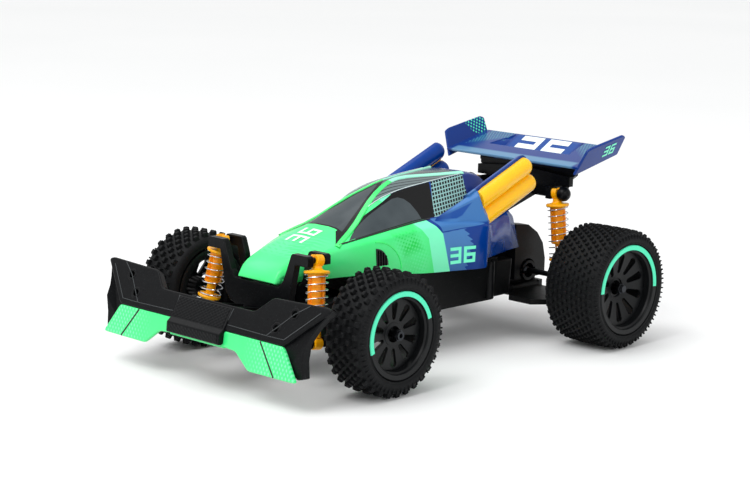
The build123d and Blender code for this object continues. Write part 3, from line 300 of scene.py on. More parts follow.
class Finish:
    """A node-built material. Positions inside it are millimetres in the part's frame."""

    def __init__(self, name, roughness, metallic=0.0, coat=0.0, specular=0.5):
        self.material = bpy.data.materials.new(name)
        self.material.use_nodes = True
        self.tree = self.material.node_tree
        self.bsdf = self.tree.nodes["Principled BSDF"]
        self.bsdf.inputs["Roughness"].default_value = roughness
        self.bsdf.inputs["Metallic"].default_value = metallic
        self.bsdf.inputs["Coat Weight"].default_value = coat
        self.bsdf.inputs["Coat Roughness"].default_value = 0.06
        self.bsdf.inputs["Specular IOR Level"].default_value = specular
        scale = self.node("ShaderNodeVectorMath", operation="SCALE")
        self.put(scale.inputs[0], self.node("ShaderNodeTexCoord").outputs["Object"])
        scale.inputs["Scale"].default_value = 1 / MM
        self.millimetres = scale.outputs[0]
        split = self.node("ShaderNodeSeparateXYZ")
        self.put(split.inputs[0], self.millimetres)
        self.x, self.y, self.z = split.outputs
        self.out = self.calc("ABSOLUTE", self.y)

    def node(self, kind, **settings):
        node = self.tree.nodes.new(kind)
        for key, value in settings.items():
            setattr(node, key, value)
        return node

    def put(self, socket, value):
        """Feeds a socket from another one, or sets its own constant."""
        if isinstance(value, bpy.types.NodeSocket):
            self.tree.links.new(value, socket)
        else:
            socket.default_value = value

    def calc(self, operation, a, b=0.0, c=0.0, clamp=False):
        node = self.node("ShaderNodeMath", operation=operation, use_clamp=clamp)
        for socket, value in zip(node.inputs, (a, b, c)):
            self.put(socket, value)
        return node.outputs[0]

    def all_of(self, *masks):
        """Masks and weights multiplied together."""
        result = masks[0]
        for mask in masks[1:]:
            result = self.calc("MULTIPLY", result, mask)
        return result

    def any_of(self, *masks):
        """The highest of several masks."""
        result = masks[0]
        for mask in masks[1:]:
            result = self.calc("MAXIMUM", result, mask)
        return result

    def without(self, mask):
        """The opposite of a mask."""
        return self.calc("SUBTRACT", 1.0, mask)

    def above(self, value, limit, soft=0.1):
        """1 where value is above limit, over a soft edge."""
        return self.calc("MULTIPLY_ADD", self.calc("SUBTRACT", value, limit), 1 / soft, 0.5, clamp=True)

    def between(self, value, low, high, soft=0.1):
        """1 where value lies between two limits."""
        return self.all_of(self.above(value, low, soft), self.without(self.above(value, high, soft)))

    def beyond(self, a, b, u, v, soft=0.12):
        """1 on the left of the line from a to b in the plane of the coordinates u and v."""
        run, rise = b[0] - a[0], b[1] - a[1]
        length = hypot(run, rise)
        nu, nv = -rise / length, run / length
        reach = self.calc("MULTIPLY_ADD", u, nu, -(nu * a[0] + nv * a[1]))
        reach = self.calc("MULTIPLY_ADD", v, nv, reach)
        return self.calc("MULTIPLY_ADD", reach, 1 / soft, 0.5, clamp=True)

    def inside(self, points, u, v, soft=0.12):
        """1 inside a convex outline given in the plane of the coordinates u and v."""
        area = sum(a[0] * b[1] - b[0] * a[1] for a, b in zip(points, points[1:] + points[:1]))
        if area < 0:
            points = points[::-1]
        result = None
        for a, b in zip(points, points[1:] + points[:1]):
            edge = self.beyond(a, b, u, v, soft)
            result = edge if result is None else self.calc("MINIMUM", result, edge)
        return result

    def mix(self, factor, a, b):
        node = self.node("ShaderNodeMix", data_type="RGBA")
        self.put(node.inputs[0], factor)
        self.put(node.inputs[6], a)
        self.put(node.inputs[7], b)
        return node.outputs[2]

    def noise(self, scale, detail=3.0, stretch=None, rough=0.55):
        """Noise whose features are about 1/scale millimetres."""
        source = self.millimetres
        if stretch:
            mapping = self.node("ShaderNodeMapping")
            self.put(mapping.inputs["Vector"], source)
            mapping.inputs["Scale"].default_value = stretch
            source = mapping.outputs[0]
        node = self.node("ShaderNodeTexNoise")
        self.put(node.inputs["Vector"], source)
        node.inputs["Scale"].default_value = scale
        node.inputs["Detail"].default_value = detail
        node.inputs["Roughness"].default_value = rough
        return node.outputs["Fac"]

    def spots(self, scale):
        """Distance from the nearest of many scattered points."""
        node = self.node("ShaderNodeTexVoronoi")
        self.put(node.inputs["Vector"], self.millimetres)
        node.inputs["Scale"].default_value = scale
        return node.outputs["Distance"]

    def vary(self, colour, amount, scale):
        """Colour with a slow, faint change of brightness."""
        return self.mix(self.noise(scale, 2.0), scaled(colour, 1 - amount), scaled(colour, 1 + amount))

    def colour(self, value):
        self.put(self.bsdf.inputs["Base Color"], value)

    def rough(self, middle, spread, scale=0.4):
        """Roughness that wanders around its middle value."""
        value = self.calc("MULTIPLY_ADD", self.noise(scale, 4.0), 2 * spread, middle - spread)
        self.put(self.bsdf.inputs["Roughness"], value)

    def bump(self, height, distance):
        """Raises the surface by up to distance millimetres."""
        node = self.node("ShaderNodeBump")
        node.inputs["Distance"].default_value = distance * MM
        self.put(node.inputs["Height"], height)
        self.put(self.bsdf.inputs["Normal"], node.outputs["Normal"])


def moulded(name, colour, roughness, grain, coat=0.0, specular=0.5, variation=0.12):
    """Injection-moulded plastic: faint flow marks, fine grain and uneven gloss."""
    f = Finish(name, roughness, coat=coat, specular=specular)
    flow = f.noise(0.09, 3.0, stretch=(1.0, 0.35, 1.0))
    tone = f.mix(flow, scaled(colour, 1 - variation), scaled(colour, 1 + variation))
    dust = f.calc("MULTIPLY", f.above(f.noise(1.3, 6.0, rough=0.7), 0.62, 0.1), 0.05)
    f.colour(f.mix(dust, tone, srgb(150, 155, 158)))
    f.rough(roughness, 0.07, 0.25)
    f.bump(f.noise(3.2, 4.0), grain)
    return f.material


BLACK = srgb(9, 10, 11)
GREEN = srgb(40, 236, 108)
GREEN_LIGHT = srgb(100, 246, 160)
GREEN_DEEP = srgb(26, 216, 82)
MINT = srgb(112, 250, 188)
BLUE = srgb(0, 66, 152)
BLUE_DEEP = srgb(4, 44, 122)
BLUE_STEEL = srgb(72, 128, 186)
YELLOW = srgb(255, 180, 2)
ORANGE = srgb(255, 160, 4)
TURQUOISE = srgb(84, 232, 184)
GLASS = srgb(46, 54, 58)
PALE = srgb(142, 188, 184)
WHITE = srgb(232, 244, 242)
SURROUND = srgb(12, 13, 14)

# Kinked lines where the mint band starts and ends, as the (x, z) of their top, knee and foot.
BAND_FRONT = ((9.5, 77.0), (0.2, 67.0), (-3.0, 46.0))
BAND_REAR = ((-1.8, 77.0), (-9.8, 68.6), (-14.6, 46.0))
# Foot and top of the perforated screen's two edges, as (x, z).
SCREEN_FRONT = ((-10.0, 76.6), (-19.7, 94.3))
SCREEN_REAR = ((-41.5, 76.0), (-46.1, 96.8))


def glass_tone(f):
    """Dark, slightly uneven glass."""
    return f.mix(f.noise(0.06, 2.0), GLASS, srgb(74, 82, 86))


def green_print(f, strip):
    """Green of the nose, with printed lattices of lighter dots on the hood and the sides."""
    x, z, out = f.x, f.z, f.out
    below_waist = f.above(strip, 2.0)
    slant = f.calc("MULTIPLY_ADD", out, 0.5, f.calc("MULTIPLY_ADD", z, 0.6, x))
    rise = f.calc("MULTIPLY_ADD", x, -0.35, z)
    diamond = f.calc("ADD", f.calc("PINGPONG", slant, 1.15), f.calc("PINGPONG", rise, 1.05))
    dots = f.without(f.above(diamond, f.calc("MULTIPLY_ADD", f.noise(0.055, 2.0), 3.6, -0.75), 0.25))
    patch_side = f.inside([(26, 70), (8, 72), (1, 58), (3, 48), (16, 48), (24, 60)], x, z, 6.0)
    patch_hood = f.inside([(86, -2), (86, 16), (62, 16), (66, -2)], x, out, 6.0)
    patch = f.any_of(f.all_of(patch_side, below_waist), f.all_of(patch_hood, f.without(below_waist)))
    green = f.mix(f.noise(0.03, 2.0), GREEN, GREEN_LIGHT)
    deep = f.inside([(25, 71), (10, 73), (6, 62), (18, 60)], x, z, 5.0)
    green = f.mix(f.all_of(deep, below_waist), green, GREEN_DEEP)
    green = f.mix(f.all_of(dots, patch, 0.55), green, GREEN_LIGHT)
    chin = f.inside([(98, 51), (92.5, 59), (88, 59), (88, 51)], x, z, 2.0)
    chin_dots = f.above(f.spots(0.7), 0.45, 0.15)
    return f.mix(f.all_of(chin, chin_dots, f.above(strip, 2.6), 0.8), green, srgb(16, 96, 66))


def blue_print(f, strip):
    """Blue of the rear, with a steel-blue patch that ends in a jagged edge and another at the waist."""
    x, z = f.x, f.z
    blue = f.mix(f.noise(0.04, 2.0), BLUE, BLUE_DEEP)
    rise = f.calc("MULTIPLY_ADD", x, -0.35, z)
    jagged_x = f.calc("MULTIPLY_ADD", f.calc("PINGPONG", rise, 1.3), 1.6, x)
    light = f.inside([(-8, 69), (-24, 70.5), (-26.6, 65), (-28.5, 62), (-24, 46), (-8, 46)], jagged_x, z, 0.3)
    fade = f.calc("MULTIPLY_ADD", f.above(z, 50.0, 14.0), 0.5, 0.4)
    blue = f.mix(f.all_of(light, fade), blue, BLUE_STEEL)
    at_waist = f.inside([(-6, 76.5), (-37, 76.5), (-40, 72.4), (-9.8, 69.8)], x, z, 0.25)
    return f.mix(f.all_of(at_waist, f.above(strip, 2.02), 0.75), blue, BLUE_STEEL)


def banded_paint(f, strip):
    """Green nose, mint band and blue rear."""
    def rear_of(line):
        top, knee, foot = line
        return f.calc("MAXIMUM", f.beyond(knee, top, f.x, f.z), f.beyond(foot, knee, f.x, f.z))

    mint = f.mix(f.noise(0.05), MINT, srgb(132, 252, 202))
    paint = f.mix(rear_of(BAND_FRONT), green_print(f, strip), mint)
    return f.mix(rear_of(BAND_REAR), paint, blue_print(f, strip))


def cabin_sides(f, paint, strip):
    """Side windows in a black surround, the pale perforated screen and the blue behind it."""
    x, z = f.x, f.z
    on_side = f.between(strip, 1.0, 2.0, 0.03)
    past_front = f.beyond(*SCREEN_FRONT, x, z)
    past_rear = f.beyond(*SCREEN_REAR, x, z)
    surround = f.inside([(60.5, 68.4), (42, 76.5), (26, 90.0), (11, 99.5), (-20.5, 99.0), (-10.0, 74.0), (30, 60)],
                        x, z)
    paint = f.mix(f.all_of(surround, on_side, f.without(past_front)), paint, SURROUND)
    pane = f.inside([(55.5, 69.0), (31.1, 80.3), (20.2, 85.0), (12.0, 87.9), (8.0, 88.4), (4.6, 87.4), (1.9, 84.8),
                     (0.2, 80.4), (-0.3, 76.0), (30, 60)], x, z)
    paint = f.mix(f.all_of(pane, f.between(strip, 1.06, 1.95, 0.03)), paint, glass_tone(f))
    column = f.calc("MULTIPLY_ADD", z, 0.46, x)
    row = f.calc("MULTIPLY_ADD", x, 0.10, z)
    hole = f.all_of(f.above(f.calc("PINGPONG", column, 1.1), 0.34), f.above(f.calc("PINGPONG", row, 0.95), 0.28))
    screen = f.all_of(on_side, past_front, f.without(past_rear))
    paint = f.mix(screen, paint, f.mix(hole, PALE, SURROUND))
    tail = f.mix(f.noise(0.05), BLUE_DEEP, srgb(10, 40, 110))
    return f.mix(f.all_of(on_side, past_rear), paint, tail)


def cabin_top(f, paint, strip):
    """Striped roof, windshield in its black frame, perforated rear intake and the blue deck behind it."""
    x, out = f.x, f.out
    on_top = f.without(f.above(strip, 1.0, 0.03))
    above_waist = f.without(f.above(strip, 1.97, 0.03))
    roof = f.all_of(on_top, f.without(f.above(x, 33.0)), f.above(x, -47.0))
    stripes = f.above(f.calc("PINGPONG", f.calc("MULTIPLY_ADD", x, 0.22, out), 1.4), 1.1)
    paint = f.mix(roof, paint, f.mix(stripes, srgb(96, 110, 112), SURROUND))
    upper_frame = f.inside([(4.5, -0.5), (51.4, -0.5), (51.4, 19.0), (4.5, 0.6)], x, out)
    lower_frame = f.inside([(51.3, 10.6), (62.5, 18.6), (62.5, 23.0), (40.0, 16.6), (40.0, -1)], x, out)
    hood = f.inside([(51.4, -1), (80, -1), (80, 12), (51.4, 12)], x, out)
    windshield = f.any_of(upper_frame, f.all_of(lower_frame, f.without(hood)))
    paint = f.mix(f.all_of(windshield, above_waist), paint, SURROUND)
    pane = f.inside([(9.5, -0.5), (50.2, -0.5), (50.2, 14.4), (9.5, 0.6)], x, out)
    paint = f.mix(f.all_of(pane, above_waist), paint, glass_tone(f))
    intake = f.all_of(on_top, f.inside([(-13.5, 0.0), (-49.5, 11.0), (-49.5, -1.0), (-13.5, -1.0)], x, out))
    holes = f.all_of(f.above(f.calc("PINGPONG", x, 0.9), 0.36), f.above(f.calc("PINGPONG", f.y, 0.9), 0.36))
    paint = f.mix(intake, paint, f.mix(holes, srgb(78, 92, 96), srgb(6, 7, 8)))
    deck = f.all_of(on_top, f.without(f.above(x, -49.0)))
    return f.mix(deck, paint, f.mix(f.noise(0.05), BLUE_DEEP, srgb(8, 40, 112)))


def shell_finish():
    """Printed racing shell. The strip attribute runs across its section: 0 on the centre line, 1 at the
    roof's edge, 2 at the waist, 3 at the side's crease and 4 at the lower edge."""
    f = Finish("shell_print", 0.25, coat=0.05, specular=0.2)
    strip = f.node("ShaderNodeAttribute", attribute_name="strip").outputs["Fac"]
    paint = cabin_sides(f, banded_paint(f, strip), strip)
    f.colour(cabin_top(f, paint, strip))
    f.rough(0.2, 0.05, 0.15)
    f.bump(f.noise(0.12, 2.0), 0.12)
    return f.material


def pod_finish():
    """Blue fairing plastic with lighter printed facets near its front."""
    f = Finish("pod_blue", 0.25, coat=0.05, specular=0.2)
    blue = f.mix(f.noise(0.05, 2.0), BLUE, BLUE_DEEP)
    front = f.inside([(-6, 70), (-6, 90), (-36, 92), (-46, 74)], f.x, f.z, 1.2)
    side = f.above(f.out, 31.0, 3.0)
    blue = f.mix(f.all_of(front, side, 0.75), blue, BLUE_STEEL)
    shadow = f.inside([(-9, 76.0), (-30, 84.5), (-24.5, 77.5), (-21, 76.0)], f.x, f.z, 0.5)
    f.colour(f.mix(f.all_of(shadow, side, 0.85), blue, BLUE))
    f.rough(0.18, 0.05)
    f.bump(f.noise(0.3, 2.0), 0.05)
    return f.material


def skirt_finish():
    """Mint panel with a lighter printed diamond lattice that fades towards the middle."""
    f = Finish("skirt_print", 0.3, coat=0.3)
    u = f.calc("MULTIPLY_ADD", f.z, 0.62, f.y)
    v = f.calc("MULTIPLY_ADD", f.z, -0.62, f.y)
    lattice = f.calc("MAXIMUM", f.calc("PINGPONG", u, 1.25), f.calc("PINGPONG", v, 1.25))
    dots = f.without(f.above(lattice, 0.62, 0.25))
    share = f.calc("MULTIPLY", f.above(f.out, 44.0, 16.0), 0.7)
    base = f.mix(f.noise(0.04), srgb(46, 224, 118), srgb(68, 234, 138))
    f.colour(f.mix(f.all_of(dots, share), base, srgb(132, 252, 186)))
    f.rough(0.3, 0.06)
    f.bump(f.noise(2.0, 3.0), 0.015)
    return f.material


def wing_finish():
    """Glossy blue plastic with mint print near the endplates."""
    f = Finish("wing_blue", 0.25, coat=0.05, specular=0.2)
    blue = f.mix(f.noise(0.035, 2.0), srgb(8, 44, 118), srgb(14, 58, 136))
    front_edge = f.all_of(f.above(f.x, -112.0, 2.0), f.without(f.above(f.out, 47.0, 2.0)))
    blue = f.mix(front_edge, blue, srgb(92, 136, 172))
    floor = f.inside([(-24.0, -122.0), (24.0, -122.0), (24.0, -143.0), (-24.0, -143.0)], f.y, f.x, 2.0)
    blue = f.mix(f.calc("MULTIPLY", floor, 0.5), blue, srgb(30, 84, 160))
    u = f.calc("MULTIPLY_ADD", f.x, 0.55, f.y)
    stripes = f.above(f.calc("PINGPONG", u, 1.0), 0.62, 0.12)
    rows = f.above(f.calc("PINGPONG", f.x, 0.9), 0.3, 0.12)
    on_plane = f.between(f.out, 27.6, 46.5, 0.3)
    fade = f.above(f.x, f.calc("MULTIPLY_ADD", f.out, 0.85, -158.0), 6.0)
    printed = f.all_of(stripes, rows, on_plane, f.without(fade), f.without(f.above(f.x, -116.0)), 0.55)
    blue = f.mix(printed, blue, srgb(116, 214, 196))
    cells = f.calc("ADD", f.calc("PINGPONG", f.calc("MULTIPLY_ADD", f.z, 0.55, f.x), 1.2),
                   f.calc("PINGPONG", f.calc("MULTIPLY_ADD", f.x, -0.45, f.z), 1.1))
    dot_area = f.inside([(-124, 116), (-145, 118), (-145, 106.5), (-132, 106.5)], f.x, f.z, 1.0)
    on_right_plate = f.between(f.y, -60.0, -50.0)
    plate_dots = f.all_of(f.without(f.above(cells, 0.8, 0.2)), dot_area, on_right_plate)
    f.colour(f.mix(plate_dots, blue, TURQUOISE))
    f.rough(0.2, 0.05)
    f.bump(f.noise(0.25, 2.0), 0.05)
    return f.material


def rubber_finish():
    """Tyre rubber: dull, slightly mottled, with a fine grain."""
    f = Finish("tyre_rubber", 0.55, specular=0.14)
    tone = f.mix(f.noise(0.5, 5.0), srgb(8, 9, 10), srgb(18, 19, 21))
    scuff = f.above(f.noise(1.6, 6.0, rough=0.75), 0.6, 0.12)
    f.colour(f.mix(f.calc("MULTIPLY", scuff, 0.08), tone, srgb(92, 96, 98)))
    f.rough(0.6, 0.1, 0.6)
    f.bump(f.noise(2.4, 5.0), 0.05)
    return f.material


def rim_finish(name, centre, lean_degrees, ring_size):
    """Dark wheel plastic with a turquoise half ring on the outer flange, between two radii and past a y."""
    f = Finish(name, 0.3, specular=0.2)
    dark = f.mix(f.noise(0.2, 3.0), srgb(9, 10, 11), srgb(20, 22, 24))
    dx = f.calc("SUBTRACT", f.x, centre[0])
    dz = f.calc("SUBTRACT", f.z, centre[2])
    reach = f.calc("SQRT", f.calc("ADD", f.calc("MULTIPLY", dx, dx), f.calc("MULTIPLY", dz, dz)))
    lean = radians(lean_degrees)
    upper = f.calc("MULTIPLY_ADD", dx, sin(lean), f.calc("MULTIPLY", dz, cos(lean)))
    near, far, flange_y = ring_size
    half_ring = f.all_of(f.above(reach, near), f.without(f.above(reach, far)), f.above(upper, 0.0),
                         f.above(f.out, flange_y))
    f.colour(f.mix(half_ring, dark, TURQUOISE))
    f.rough(0.36, 0.07)
    f.bump(f.noise(2.6, 4.0), 0.02)
    return f.material


def metal_finish(name, colour, roughness, along=(1.0, 1.0, 1.0)):
    """Bright metal with fine drawn lines and faint stains."""
    f = Finish(name, roughness, metallic=1.0)
    lines = f.noise(2.2, 4.0, stretch=along)
    f.colour(f.mix(lines, scaled(colour, 0.78), colour))
    f.rough(roughness, 0.08, 0.5)
    f.bump(lines, 0.008)
    return f.material


def soft_plastic(name, low, high, patches, gloss, glow, grain):
    """Bright plastic that lets a little light in. patches is the noise between its two tones, gloss is
    (roughness, its spread, coat, specular), glow is (weight, depth in mm) and grain ends with its height."""
    roughness, spread, coat, specular = gloss
    f = Finish(name, roughness, coat=coat, specular=specular)
    f.colour(f.mix(f.noise(*patches), low, high))
    f.bsdf.inputs["Subsurface Weight"].default_value = glow[0]
    f.bsdf.inputs["Subsurface Scale"].default_value = glow[1] * MM
    f.rough(roughness, spread)
    f.bump(f.noise(*grain[:2]), grain[2])
    return f.material


def print_finish(name, colour):
    """Printed marking: even ink with a fine grain."""
    f = Finish(name, 0.3, coat=0.3)
    f.colour(f.vary(colour, 0.05, 0.3))
    f.rough(0.3, 0.05)
    f.bump(f.noise(3.0, 3.0), 0.01)
    return f.material


def board_finish():
    """Green solder mask with lighter copper tracks under it."""
    f = Finish("board_green", 0.35, coat=0.4)
    wandering_x = f.calc("ADD", f.x, f.calc("MULTIPLY", f.noise(0.2, 1.0), 6.0))
    tracks = f.above(f.calc("PINGPONG", wandering_x, 0.9), 0.62)
    f.colour(f.mix(tracks, srgb(12, 84, 46), srgb(24, 120, 66)))
    f.rough(0.35, 0.05)
    f.bump(tracks, 0.03)
    return f.material


WHEELS = {
    "front": dict(centre=centre_of("front_rim_left"), lean=17.0, ring=(20.45, 23.3, 85.4)),
    "rear": dict(centre=centre_of("rear_rim_left"), lean=-2.0, ring=(23.0, 26.0, 95.7)),
}

black_plastic = moulded("black_plastic", BLACK, 0.4, 0.03, specular=0.12)
black_satin = moulded("black_satin", srgb(9, 10, 12), 0.3, 0.02, specular=0.12)
gearbox_plastic = moulded("gearbox_plastic", srgb(12, 13, 15), 0.38, 0.03, specular=0.18)
servo_plastic = moulded("servo_plastic", srgb(58, 60, 64), 0.4, 0.02)
acetal = moulded("natural_acetal", srgb(226, 222, 208), 0.35, 0.01, variation=0.04)
battery_sleeve = moulded("battery_sleeve", srgb(24, 72, 150), 0.25, 0.02, coat=0.5)
shell_print = shell_finish()
pod_blue = pod_finish()
skirt_print = skirt_finish()
wing_blue = wing_finish()
tyre_rubber = rubber_finish()
steel = metal_finish("bright_steel", srgb(200, 202, 206), 0.28, along=(0.1, 1.0, 1.0))
spring_wire = metal_finish("spring_wire", srgb(216, 218, 222), 0.16)
black_steel = metal_finish("black_steel", srgb(58, 60, 64), 0.36, along=(0.1, 1.0, 1.0))
brass = metal_finish("turned_brass", srgb(206, 168, 88), 0.3)
shock_yellow = soft_plastic("shock_plastic", YELLOW, srgb(250, 168, 6), (0.25, 3.0), (0.28, 0.06, 0.05, 0.3),
                            (0.12, 1.5), (1.5, 3.0, 0.02))
shock_orange = soft_plastic("shock_orange", ORANGE, srgb(250, 146, 10), (0.2, 3.0), (0.3, 0.06, 0.05, 0.3),
                            (0.12, 1.5), (1.5, 3.0, 0.02))
pipe_yellow = soft_plastic("pipe_yellow", srgb(253, 184, 12), srgb(252, 198, 34), (0.06, 2.0),
                           (0.22, 0.05, 0.1, 0.35), (0.15, 2.0), (0.4, 2.0, 0.05))
white_ink = print_finish("white_ink", WHITE)
mint_ink = print_finish("mint_ink", srgb(104, 240, 196))
board_green = board_finish()
rims = {end: rim_finish("rim_" + end, w["centre"], w["lean"], w["ring"]) for end, w in WHEELS.items()}
trim_black = moulded("trim_black", srgb(16, 17, 18), 0.35, 0.01)
trim_green = moulded("trim_green", GREEN, 0.24, 0.01, coat=0.6, variation=0.05)
trim_mint = moulded("trim_mint", srgb(150, 236, 206), 0.24, 0.01, coat=0.6, variation=0.05)
# Pale colour of the roof-edge beads: a painted highlight along the roof's edge.
painted_highlight_pale = moulded("painted_highlight_pale", srgb(206, 222, 222), 0.3, 0.01, coat=0.4, variation=0.05)


# ---------------------------------------------------------------- body shell
# x: top z on the centre line, then (y, z) of the upper edge, the waist, the side crease and the lower edge
STATIONS = {
    99.0: (53.4, (13.2, 53.0), (14.0, 52.5), (14.2, 52.1), (14.3, 51.2)),
    96.0: (58.0, (13.8, 57.6), (15.2, 55.6), (15.6, 54.2), (15.8, 51.3)),
    91.0: (61.4, (14.0, 61.0), (17.2, 57.8), (17.6, 56.0), (17.8, 51.4)),
    72.0: (69.3, (12.0, 68.8), (20.5, 65.2), (21.6, 63.0), (22.2, 51.6)),
    60.5: (72.7, (11.0, 72.2), (22.0, 68.6), (24.2, 66.4), (25.8, 51.9)),
    51.5: (75.4, (10.1, 75.0), (23.6, 70.2), (26.4, 68.0), (28.4, 52.0)),
    32.0: (84.2, (11.0, 82.6), (26.0, 73.0), (29.8, 70.6), (31.6, 50.4)),
    16.9: (90.8, (12.0, 89.0), (26.6, 74.6), (31.0, 71.6), (33.0, 49.2)),
    2.0: (95.8, (13.0, 92.4), (26.8, 76.0), (31.8, 72.6), (34.0, 47.8)),
    -19.7: (97.6, (14.0, 94.8), (27.0, 77.0), (36.0, 73.5), (36.5, 46.9)),
    -37.0: (97.8, (14.2, 96.2), (26.6, 78.0), (41.0, 72.0), (39.5, 46.4)),
    -41.6: (97.6, (14.3, 96.5), (25.4, 79.0), (40.2, 71.5), (39.0, 46.3)),
    -42.6: (97.6, (14.3, 96.6), (25.2, 79.2), (37.4, 71.4), (36.4, 46.3)),
    -46.0: (97.4, (14.4, 96.8), (24.0, 80.0), (36.6, 71.2), (35.8, 46.1)),
    -69.5: (93.6, (14.0, 92.0), (20.0, 84.0), (30.0, 72.0), (28.5, 46.0)),
    -88.0: (78.5, (13.6, 77.5), (19.0, 76.5), (25.2, 70.0), (24.8, 46.0)),
}
SHELL_THICKNESS = 1.2
SHELL_NOSE, SHELL_TAIL, STATION_STEP = 99.0, -88.0, 2.5
REAR_STEP_X, REAR_STEP_Z = -46.0, 50.6
# The tail's rows lean from SLANT_START on, so that the shell ends along this (z, x) line.
SLANT_START = -60.0
REAR_CUT = ((40.0, -87.1), (50.4, -87.1), (74.4, -78.3), (93.0, -72.5), (110.0, -70.0))


def smooth(table, x):
    """Values between the stations of a table, by monotone cubic curves."""
    keys = sorted(table)
    rows = [[table[k][0]] + [v for pair in table[k][1:] for v in pair] for k in keys]
    last = len(keys) - 1
    x = min(max(x, keys[0]), keys[-1])
    index = max(i for i in range(last) if keys[i] <= x)

    def step(i):
        """Change per millimetre from station i to the next."""
        return [(q - p) / (keys[i + 1] - keys[i]) for p, q in zip(rows[i], rows[i + 1])]

    def slope(i):
        if i in (0, last):
            return step(min(i, last - 1))
        return [0.0 if before * after <= 0 else 2 * before * after / (before + after)
                for before, after in zip(step(i - 1), step(i))]

    width = keys[index + 1] - keys[index]
    t = (x - keys[index]) / width
    values = []
    for p, q, m, n in zip(rows[index], rows[index + 1], slope(index), slope(index + 1)):
        values.append(p * (2 * t ** 3 - 3 * t ** 2 + 1) + m * width * (t ** 3 - 2 * t ** 2 + t)
                      + q * (3 * t ** 2 - 2 * t ** 3) + n * width * (t ** 3 - t ** 2))
    return values


def shell_half(x):
    """Corners of half a cross-section as (y, z, strip)."""
    top, *rest = smooth(STATIONS, x)
    corners = [(0.0, top, 0.0)]
    corners += [(rest[2 * k], rest[2 * k + 1], k + 1.0) for k in range(4)]
    if x < REAR_STEP_X:
        y, z, strip = corners[-1]
        corners[-1] = (y, max(z, REAR_STEP_Z), strip)
    return corners


def shell_row(x):
    """Half cross-section with soft corners, from the centre line to the lower edge."""
    corners = shell_half(x)
    points = [corners[0], tuple((a + b) / 2 for a, b in zip(*corners[:2]))]
    points[1] = (points[1][0], points[1][1] + 0.25, points[1][2])
    soft = rounded(corners, 1.5, steps=4)
    return points + soft[1:]


def shell_height(x, y):
    """Height of the shell above a place on the car."""
    corners = shell_half(x)
    for (y0, z0, _), (y1, z1, _) in zip(corners, corners[1:]):
        if y0 <= abs(y) <= y1:
            return z0 + (z1 - z0) * (abs(y) - y0) / max(y1 - y0, 1e-6)
    return corners[-1][1]


def shell_side(x, z):
    """Distance of the shell's side from the centre plane at a height."""
    corners = shell_half(x)
    for (y0, z0, _), (y1, z1, _) in zip(corners[1:], corners[2:]):
        if z1 <= z <= z0:
            return y0 + (y1 - y0) * (z0 - z) / max(z0 - z1, 1e-6)
    return corners[-1][0]


def rear_x(x, z):
    """Slants the last rows so that the shell ends along its cut line."""
    if x > SLANT_START:
        return x
    for (z0, x0), (z1, x1) in zip(REAR_CUT, REAR_CUT[1:]):
        if z0 <= z <= z1:
            end = x0 + (x1 - x0) * (z - z0) / (z1 - z0)
            return SLANT_START + (x - SLANT_START) * (end - SLANT_START) / (SHELL_TAIL - SLANT_START)
    return x


def shell_positions():
    """Where the shell has its sections: close together at the nose and at the step behind the cabin."""
    places = [SHELL_NOSE, 98.2, 97.2, 96.0, 94.4, 92.8]
    x = 91.0
    while x > REAR_STEP_X:
        places.append(x)
        x -= STATION_STEP
    places += [-41.6, -42.1, -42.6, REAR_STEP_X, REAR_STEP_X - 0.05, -52.0, SLANT_START, -69.5, -79.0, SHELL_TAIL]
    return sorted(set(places), reverse=True)


def body_shell():
    """Thin shell skinned over its sections; a smaller, flatter first section closes the nose."""
    rows, strips = [], []
    nose = shell_row(SHELL_NOSE)
    rows.append([(SHELL_NOSE + 0.35, y * 0.98, 51.5 + (z - 51.2) * 0.2) for y, z, _ in nose])
    strips.append([strip for _, _, strip in nose])
    for x in shell_positions():
        row = shell_row(x)
        rows.append([(rear_x(x, z), y, z) for y, z, _ in row])
        strips.append([strip for _, _, strip in row])
    full, full_strips = [], []
    for row, strip in zip(rows, strips):
        full.append([(x, -y, z) for x, y, z in reversed(row[1:])] + row)
        full_strips.extend(list(reversed(strip[1:])) + strip)
    points, faces = grid(full)
    n = len(full[0])
    faces.append(tuple(range(n)))
    mesh = bpy.data.meshes.new("body_shell_skin")
    mesh.from_pydata([Vector(p) * MM for p in points], [], faces)
    attribute = mesh.attributes.new("strip", "FLOAT", "POINT")
    attribute.data.foreach_set("value", full_strips)
    shape = bmesh.new()
    shape.from_mesh(mesh)
    bmesh.ops.recalc_face_normals(shape, faces=shape.faces)
    roof_middle = Vector((0.0, 0.0, 95.8)) * MM
    roof_face = min(shape.faces, key=lambda face: (face.calc_center_median() - roof_middle).length)
    if roof_face.normal.z < 0:
        bmesh.ops.reverse_faces(shape, faces=shape.faces)
    shape.to_mesh(mesh)
    shape.free()
    shade(mesh, 50)
    shell = add_object("body_shell_skin", mesh, shell_print, "chassis", ["body_shell"])
    thicken(shell, SHELL_THICKNESS)


RAIL_PATH = [(61.6, 22.4), (56.0, 20.4), (48.0, 17.6), (40.0, 14.8), (32.0, 11.9), (24.0, 9.0), (16.0, 6.2),
             (9.0, 4.4), (2.0, 3.0), (-5.0, 2.4), (-12.0, 3.4), (-22.0, 6.2), (-34.0, 9.4), (-48.0, 13.0)]
RAIL_PROFILE = [(-1.5, -0.8), (-1.5, 0.35), (-1.1, 0.75), (1.1, 0.75), (1.5, 0.35), (1.5, -0.8)]


def rails():
    """Raised pillars that run in from the windshield's feet and out again along the roof: green, then paler."""
    for name, side in SIDES.items():
        for part, path, material in (("front", RAIL_PATH[:9], trim_green), ("rear", RAIL_PATH[8:], trim_mint)):
            points = [(x, side * y, shell_height(x, y)) for x, y in path]
            rail = sweep(points, RAIL_PROFILE, (0.25, side * 0.35, 1.0))
            build(f"roof_rail_{part}_{name}", *rail, material, "chassis", "shell")


